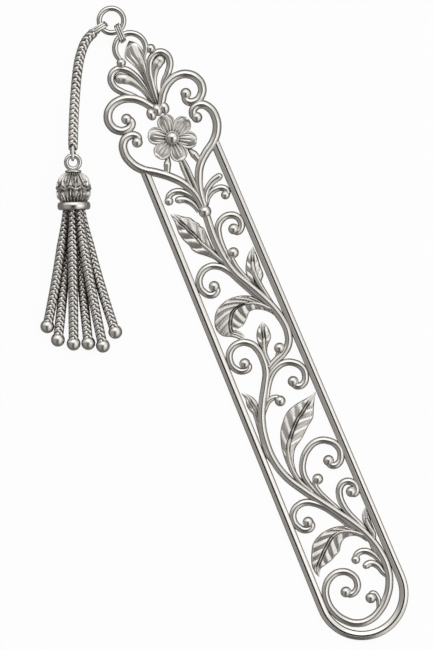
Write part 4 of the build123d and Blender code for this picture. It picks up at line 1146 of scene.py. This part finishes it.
class BOOKMARK_OT_head(bpy.types.Operator):
    """Bend the heart and crown scrolls, the lobes, the collar, the beads and the loop"""
    bl_idname = "bookmark.head"
    bl_label = "Head"

    def execute(self, context):
        sizes = context.scene.bookmark_sizes
        hand_over(bead(at(KNOT_SHARE), KNOT_RADIUS, KNOT_HEIGHT), "blade", "polished", "knot_bead")
        for name, shares in HEAD_SCROLL_SHARES.items():
            scroll = balled_wire(shares, HEAD_SCROLL_WIDTH, HEAD_SCROLL_HEIGHT, sizes.bead_radius,
                                 BEAD_HEIGHT, HEAD_SCROLL_SWELL)
            hand_over(scroll, "blade", "rubbed", name)
        for name, shares in LOBE_SHARES.items():
            loop = wire(drawn(shares), LOBE_WIDTH, LOBE_HEIGHT, LOBE_SWELL)
            hand_over(loop, "blade", "rubbed", name)
        drops = []
        for shares in DROP_PETAL_SHARES:
            drop = balled_wire(shares, DROP_WIDTH, DROP_HEIGHT, DROP_WIDTH / 2, DROP_HEIGHT, DROP_SWELL)
            drops.append(drop)
        hand_over(joined(*drops), "blade", "chased", "drop_petals")
        knobs = [wire(drawn(COLLAR_SHARES), COLLAR_WIDTH, COLLAR_HEIGHT, COLLAR_SWELL)]
        stretch = Matrix.Diagonal((1, KNOB_STRETCH, 1, 1))
        for middle, height in zip(drawn(KNOB_SHARES), KNOB_HEIGHTS):
            knob = bead(middle, KNOB_RADIUS, height)
            knob.data.transform(Matrix.Translation(middle) @ stretch @ Matrix.Translation(-middle))
            knobs.append(knob)
        hand_over(joined(*knobs), "blade", "polished", "crown_collar")
        beads = []
        for middle in drawn(SHOULDER_BEAD_SHARES):
            beads.append(bead(middle, SHOULDER_BEAD_RADIUS, SHOULDER_BEAD_HEIGHT))
        hand_over(joined(*beads), "blade", "polished", "shoulder_beads")
        stubs = [wire(drawn(shares), STUB_WIDTH, TENDRIL_HEIGHT, STUB_SWELL) for shares in CALYX_SHARES]
        hand_over(joined(*stubs), "blade", "rubbed", "calyx_stubs")
        centre = at(LOOP_CENTRE_SHARE, LOOP_HEIGHT)
        arc = []
        for step in range(LOOP_STEPS + 1):
            angle = math.radians(LOOP_START + LOOP_SWEEP * step / LOOP_STEPS)
            arc.append(centre + Vector((math.cos(angle), math.sin(angle), 0)) * LOOP_RADIUS)
        loop = wire(arc, LOOP_WIRE, LOOP_WIRE, LOOP_SWELL, ROUND_SHARES)
        hand_over(loop, "blade", "polished", "suspension_loop")
        return {"FINISHED"}


class BOOKMARK_OT_flower(bpy.types.Operator):
    """Chase the six petals, and set the boss and the stem"""
    bl_idname = "bookmark.flower"
    bl_label = "Flower"

    def execute(self, context):
        centre = at(FLOWER_SHARE)
        turns = [PETAL_TURN + 2 * math.pi * number / PETALS for number in range(PETALS)]
        petals = [petal(centre, turn) for turn in turns]
        hand_over(joined(*petals), "blade", "chased", "flower")
        boss = bead(centre, BOSS_RADIUS, BOSS_HEIGHT)
        hand_over(boss, "blade", "polished", "flower_boss")
        points = drawn(FLOWER_STEM_SHARES)
        stem = wire(points, FLOWER_STEM_WIDTH, STEM_HEIGHT, FLOWER_STEM_SWELL, TWIN_SHARES)
        hand_over(stem, "blade", "rubbed", "flower_stem")
        return {"FINISHED"}


class BOOKMARK_OT_links(bpy.types.Operator):
    """Wind the connector link and close the jump ring"""
    bl_idname = "bookmark.links"
    bl_label = "Connector link and jump ring"

    def execute(self, context):
        loop_hook = PIVOTS["connector_link"]
        ring_hook = PIVOTS["jump_ring"]
        way = (ring_hook - loop_hook).normalized()
        reach = (ring_hook - loop_hook).length / 2
        link = wound((loop_hook + ring_hook) / 2, way, reach, LINK_SLANT)
        hand_over(link, "connector_link", "plaited", "connector_link")
        matrix = Matrix.Translation(ring_hook + way * RING_RADIUS)
        ring = ring_of_wire(matrix, circle_path(RING_RADIUS), RING_WIRE, *RING_FACETS)
        hand_over(ring, "jump_ring", "polished", "jump_ring")
        return {"FINISHED"}


def folded_leg(length, width):
    """Shapes one leg of a folded link: a bent, tapered grain along Y that bulges up."""
    bpy.ops.object.select_all(action="DESELECT")
    bpy.ops.mesh.primitive_uv_sphere_add(
        segments=LEG_SEGMENTS, ring_count=LEG_RINGS, radius=1, location=(0, 0, 0))
    obj = bpy.context.object
    for vertex in obj.data.vertices:
        across, up, along = vertex.co
        girth = width / 2 * (1 - LEG_TAPER * along)
        sag = LEG_SAG * length * along ** 2
        vertex.co = (across * girth, along * length / 2, up * girth - sag)
    return obj


def plait(line, width, pitch, start, end, drawn_rows):
    """Lays slanted legs of folded links in columns round a core. The ends can be drawn in over some rows."""
    core = width * CORE_SHARE
    pieces = [wire(smooth_line(line, CORE_POINTS), core, core, (start, 1, 1, 1, end), ROUND_SHARES)]
    count = max(round(line_length(line) / pitch), 2)
    places = smooth_line(line, count * ROW_PLACES + 1)
    pattern = folded_leg(width * LEG_LENGTH_SHARE, width * LEG_WIDTH_SHARE)
    for number in range(count):
        girth = min(1, start + number / drawn_rows, end + (count - 1 - number) / drawn_rows)
        row = places[number * ROW_PLACES:(number + 1) * ROW_PLACES + 1]
        way = (row[-1] - row[0]).normalized()
        side = way.cross(UP).normalized()
        normal = side.cross(way)
        for column in range(PLAIT_COLUMNS):
            # Every other column lies half a row further on and slants the other way
            spot = row[3] if column % 2 else row[1]
            slant = LEG_SLANT if column % 2 else -LEG_SLANT
            turn = math.pi / 4 + column * math.pi / 2
            outward = side * math.cos(turn) + normal * math.sin(turn)
            around = normal * math.cos(turn) - side * math.sin(turn)
            along = way * math.cos(slant) + around * math.sin(slant)
            spot = spot + outward * (width * LEG_PLACE_SHARE * girth)
            matrix = laid(along.cross(outward), along, outward, spot)
            leg = pattern.copy()
            leg.data = pattern.data.copy()
            bpy.context.scene.collection.objects.link(leg)
            leg.data.transform(matrix @ Matrix.Scale(girth, 4))
            pieces.append(leg)
    bpy.data.objects.remove(pattern)
    return joined(*pieces)


def nearest(line, place):
    """Gives the number of the point of a line that is nearest to a place."""
    return min(range(len(line)), key=lambda number: (line[number] - place).length)


class BOOKMARK_OT_chain(bpy.types.Operator):
    """Plait the chain in its runs, with a loop at each end"""
    bl_idname = "bookmark.chain"
    bl_label = "Chain"

    def execute(self, context):
        width = context.scene.bookmark_sizes.chain_width
        runs = range(1, CHAIN_RUNS + 1)
        stations = [PIVOTS[f"chain_{run}"] for run in runs] + [PIVOTS["tassel"]]
        line = smooth_line(stations, CHAIN_STEPS + 1)
        reach = END_LINK_LENGTH / 2 - END_LINK_RADIUS / 2
        for run in runs:
            stretch = line[nearest(line, stations[run - 1]):nearest(line, stations[run]) + 1]
            first = 0
            last = len(stretch)
            start_girth = end_girth = 1
            loops = []
            if run == 1:
                way = (stretch[CHAIN_LOOP_STEPS] - stretch[0]).normalized()
                loops.append(wound(stretch[0] + way * reach, way, reach, CHAIN_LOOP_SLANT))
                first = int(len(stretch) * START_GAP)
                start_girth = START_GIRTH
            if run == CHAIN_RUNS:
                way = (stretch[-CHAIN_LOOP_STEPS] - stretch[-1]).normalized()
                side = way.cross(UP).normalized()
                matrix = laid(way, way.cross(side), side, stretch[-1] + way * reach)
                path = oval_path(reach, END_LINK_RADIUS)
                loops.append(ring_of_wire(matrix, path, END_LINK_WIRE, *END_LINK_FACETS))
                last -= int(len(stretch) * END_GAP)
                end_girth = END_GIRTH
            body = plait(stretch[first:last], width, PLAIT_PITCH, start_girth, end_girth, PLAIT_DRAWN_ROWS)
            hand_over(joined(body, *loops), f"chain_{run}", "plaited", f"chain_{run}")
        return {"FINISHED"}


def cap_outline():
    """Gives the cap's outside and inside as radius and drop, from the neck round to the neck again."""
    outside = []
    inside = []
    for step in range(CAP_STEPS + 1):
        share = step / CAP_STEPS
        bulge = math.sqrt(max(1 - ((share - BULGE_PLACE) / BULGE_REACH) ** 2, 0))
        radius = CAP_RADIUS * (BULGE_LEAST + BULGE_SHARE * bulge)
        drop = NECK_FOOT + (CAP_FOOT - NECK_FOOT) * share
        outside.append((radius, drop))
        inside.append((radius - CAP_WALL, drop + CAP_ROOF * (1 - share)))
    return outside + inside[::-CAP_INSIDE_STRIDE]


def band_outline(radius, roundness, bore, top, foot, steps):
    """Gives a band with a rounded outside as radius and drop."""
    outline = []
    for step in range(steps + 1):
        angle = math.pi * step / steps
        drop = (top + foot) / 2 - (foot - top) / 2 * math.cos(angle)
        outline.append((radius - roundness + roundness * math.sin(angle), drop))
    return [*outline, (bore, foot), (bore, top)]


def cap_relief(angle, row):
    """Carves arches over a wavy band over small leaves, each with an edge, a heart and two pairs of curls."""
    if row > CAP_STEPS:
        return 0
    share = row / CAP_STEPS
    turn = angle / (2 * math.pi) * CAP_LEAVES
    wave = BAND_PLACE + BAND_WAVE * math.cos(2 * math.pi * turn)
    height = BAND_HEIGHT * bump_at(share, wave, BAND_SPREAD)
    for start, end, shift, fullness in CARVED_ROWS:
        along = (share - start) / (end - start)
        if 0 <= along < 1:
            across = ((turn + shift) % 1 - 0.5) * 2
            part = abs(across) / (CARVED_SPAN * math.sqrt(1 - along ** fullness))
            if part < 1:
                edge = bump_at(part, *EDGE_ACROSS)
                heart = bump_at(across, *HEART_ACROSS) * bump_at(along, *HEART_ALONG)
                curls = sum(bump_at(along, *curl) for curl in CURLS_ALONG)
                curls *= bump_at(abs(across), *CURLS_ACROSS)
                height = max(height, EDGE_HEIGHT * edge, HEART_HEIGHT * heart, CURL_HEIGHT * curls)
    return (CARVED_GROUND + height) * MM


class BOOKMARK_OT_tassel(bpy.types.Operator):
    """Bend the tassel's eye, turn its cap and rim, and carve the cap"""
    bl_idname = "bookmark.tassel"
    bl_label = "Tassel cap"

    def execute(self, context):
        matrix = laid(ASIDE, DOWN, UP, EYE_CENTRE)
        eye = ring_of_wire(matrix, circle_path(EYE_RADIUS), EYE_WIRE, *EYE_FACETS)
        neck = band_outline(NECK_RADIUS, NECK_ROUND, NECK_BORE, NECK_TOP, NECK_FOOT, NECK_STEPS)
        hand_over(joined(eye, spun(neck, NECK_TURNS)), "tassel", "polished", "tassel_eye")
        hand_over(spun(cap_outline(), CAP_TURNS, cap_relief), "tassel", "carved", "tassel_cap")
        rim = band_outline(RIM_RADIUS, RIM_ROUND, RIM_BORE, CAP_FOOT, RIM_FOOT, RIM_STEPS)
        hand_over(spun(rim, RIM_TURNS), "tassel", "polished", "cap_rim")
        # The ring hidden in the mouth keeps its own solid
        ring = frame["nodes"]["strand_ring"]
        for slot in ring.material_slots:
            slot.material = silver("rubbed")
        return {"FINISHED"}


def strand_line(hook, tip, arrival):
    """Bends a strand from its hook, where it goes straight down, to its tip, where it goes arrival's way."""
    pull = (tip - hook).length * STRAND_BEND
    line = []
    for step in range(STRAND_STEPS + 1):
        t = step / STRAND_STEPS
        from_hook = 2 * t ** 3 - 3 * t ** 2 + 1
        from_tip = -2 * t ** 3 + 3 * t ** 2
        bend = DOWN * (t ** 3 - 2 * t ** 2 + t) + arrival * (t ** 3 - t ** 2)
        line.append(hook * from_hook + tip * from_tip + bend * pull)
    return line


class BOOKMARK_OT_strands(bpy.types.Operator):
    """Plait the six strands and set their balls"""
    bl_idname = "bookmark.strands"
    bl_label = "Strands"

    def execute(self, context):
        sizes = context.scene.bookmark_sizes
        for number in range(STRANDS):
            name = f"strand_{number + 1}"
            hook = PIVOTS[name] + ASIDE * MOUTH_SHIFTS[number]
            tip = EYE_CENTRE + DOWN * (TASSEL_DROP * BALL_DROP_SHARES[number])
            tip = tip + ASIDE * (TASSEL_SPREAD * BALL_SPREAD_SHARES[number])
            tip.z = sizes.ball_radius
            chord = (tip - hook).normalized()
            arrival = (chord * (1 + STRAND_FLARE_SHARE) - DOWN * STRAND_FLARE_SHARE).normalized()
            line = strand_line(hook, tip, arrival)
            body = plait(line, sizes.strand_width, STRAND_PITCH, MOUTH_GIRTH, 1, MOUTH_ROWS)
            bpy.ops.object.select_all(action="DESELECT")
            bpy.ops.mesh.primitive_uv_sphere_add(
                segments=BALL_SEGMENTS, ring_count=BALL_RINGS, radius=sizes.ball_radius, location=tip)
            bpy.ops.object.transform_apply(location=True, rotation=False, scale=False)
            ball = bpy.context.object
            side = arrival.cross(UP).normalized()
            top = tip - arrival * (sizes.ball_radius * BALL_COLLAR_PLACE)
            matrix = laid(side, arrival.cross(side), arrival, top)
            path = circle_path(BALL_COLLAR_RADIUS)
            collar = ring_of_wire(matrix, path, BALL_COLLAR_WIRE, *BALL_COLLAR_FACETS)
            hand_over(joined(body, ball, collar), name, "plaited", name)
        return {"FINISHED"}


class BOOKMARK_OT_stage(bpy.types.Operator):
    """Lay the table, hang the lights and set the camera"""
    bl_idname = "bookmark.stage"
    bl_label = "Stage"

    def execute(self, context):
        stage = context.scene.bookmark_stage
        bpy.ops.object.select_all(action="DESELECT")
        bpy.ops.mesh.primitive_plane_add(size=TABLE_SIZE, location=(0, 0, TABLE_LEVEL))
        table = context.object
        table.name = "table"
        table.data.materials.append(white_table())
        light_world(context.scene)
        for name, place, size, power in (
            ("key", KEY_PLACE, KEY_SIZE, stage.key_power),
            ("fill", FILL_PLACE, FILL_SIZE, stage.fill_power),
        ):
            bpy.ops.object.light_add(type="AREA", location=VIEW_MIDDLE + place)
            lamp = context.object
            lamp.name = name
            lamp.data.size = size
            lamp.data.energy = power
            lamp.rotation_euler = place.to_track_quat("Z", "Y").to_euler()
        bpy.ops.object.camera_add(location=VIEW_MIDDLE + UP * stage.camera_height, rotation=(0, 0, VIEW_ROLL))
        camera = context.object
        camera.data.sensor_width = SENSOR
        camera.data.lens = SENSOR * stage.camera_height / VIEW_HEIGHT
        camera.data.clip_start = CLIP_START
        context.scene.camera = camera
        context.scene.view_settings.view_transform = "Standard"
        return {"FINISHED"}


def white_table():
    """White paper: white to the camera with a trace of shadow, and dim where the silver mirrors it."""
    material = bpy.data.materials.new("white_table")
    material.use_nodes = True
    recipe = Recipe(material.node_tree)
    light_path = recipe.node("ShaderNodeLightPath")
    seen = Shade(recipe, light_path.outputs["Is Camera Ray"])
    mirrored = Shade(recipe, light_path.outputs["Is Glossy Ray"])
    paper = recipe.node("ShaderNodeBsdfDiffuse", Color=PAPER)
    glow = recipe.node("ShaderNodeEmission", Color=recipe.mix(seen, PAPER_MIRRORED, PAPER_SEEN), Strength=1.0)
    both = recipe.node("ShaderNodeMixShader", Fac=seen * SEEN_SHARE + mirrored * MIRRORED_SHARE)
    output = recipe.node("ShaderNodeOutputMaterial")
    links = material.node_tree.links
    links.new(paper.outputs[0], both.inputs[1])
    links.new(glow.outputs[0], both.inputs[2])
    links.new(both.outputs[0], output.inputs["Surface"])
    return material


def light_world(scene):
    """A studio: a bright window at the picture's top, softer cloths at its other sides, and dim walls."""
    world = bpy.data.worlds.new("studio")
    world.use_nodes = True
    scene.world = world
    recipe = Recipe(world.node_tree)
    axes = recipe.node("ShaderNodeSeparateXYZ", Vector=recipe.value("ShaderNodeTexCoord", "Generated"))
    x, y, height = [Shade(recipe, axes.outputs[name]) for name in "XYZ"]
    right = x * PICTURE_RIGHT.x + y * PICTURE_RIGHT.y
    top = x * PICTURE_TOP.x + y * PICTURE_TOP.y
    cloths = recipe.rise(top, *WINDOW)
    for way, cloth in ((right, RIGHT_CLOTH), (right, LEFT_CLOTH), (top, BOTTOM_CLOTH)):
        cloths = cloths.most(recipe.rise(way, *cloth))
    glow = cloths * recipe.rise(height, *CLOTH_FADE) + recipe.rise(height, *WALLS) + ROOM_LEVEL
    sky = recipe.node("ShaderNodeBackground", Color=glow, Strength=1.0)
    output = recipe.node("ShaderNodeOutputWorld")
    world.node_tree.links.new(sky.outputs[0], output.inputs["Surface"])


OPERATORS = (
    BOOKMARK_OT_frame, BOOKMARK_OT_vine, BOOKMARK_OT_leaves, BOOKMARK_OT_head, BOOKMARK_OT_flower,
    BOOKMARK_OT_links, BOOKMARK_OT_chain, BOOKMARK_OT_tassel, BOOKMARK_OT_strands, BOOKMARK_OT_stage,
)


class BOOKMARK_PT_panel(bpy.types.Panel):
    """Lists the bookmark's pieces"""
    bl_idname = "BOOKMARK_PT_panel"
    bl_label = "Bookmark"
    bl_space_type = "VIEW_3D"
    bl_region_type = "UI"
    bl_category = "Bookmark"

    def draw(self, context):
        for entry in OPERATORS:
            self.layout.operator(entry.bl_idname)
        for group in ("bookmark_sizes", "bookmark_finish", "bookmark_stage"):
            settings = getattr(context.scene, group)
            for name in settings.__annotations__:
                self.layout.prop(settings, name)


CLASSES = (BookmarkSizes, BookmarkFinish, BookmarkStage, *OPERATORS, BOOKMARK_PT_panel)


def register():
    for entry in CLASSES:
        bpy.utils.register_class(entry)
    bpy.types.Scene.bookmark_sizes = PointerProperty(type=BookmarkSizes)
    bpy.types.Scene.bookmark_finish = PointerProperty(type=BookmarkFinish)
    bpy.types.Scene.bookmark_stage = PointerProperty(type=BookmarkStage)


def unregister():
    del bpy.types.Scene.bookmark_stage
    del bpy.types.Scene.bookmark_finish
    del bpy.types.Scene.bookmark_sizes
    for entry in reversed(CLASSES):
        bpy.utils.unregister_class(entry)


def main():
    """Registers the add-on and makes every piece."""
    register()
    for entry in OPERATORS:
        group, name = entry.bl_idname.split(".")
        getattr(getattr(bpy.ops, group), name)()


if __name__ == "__main__":
    main()
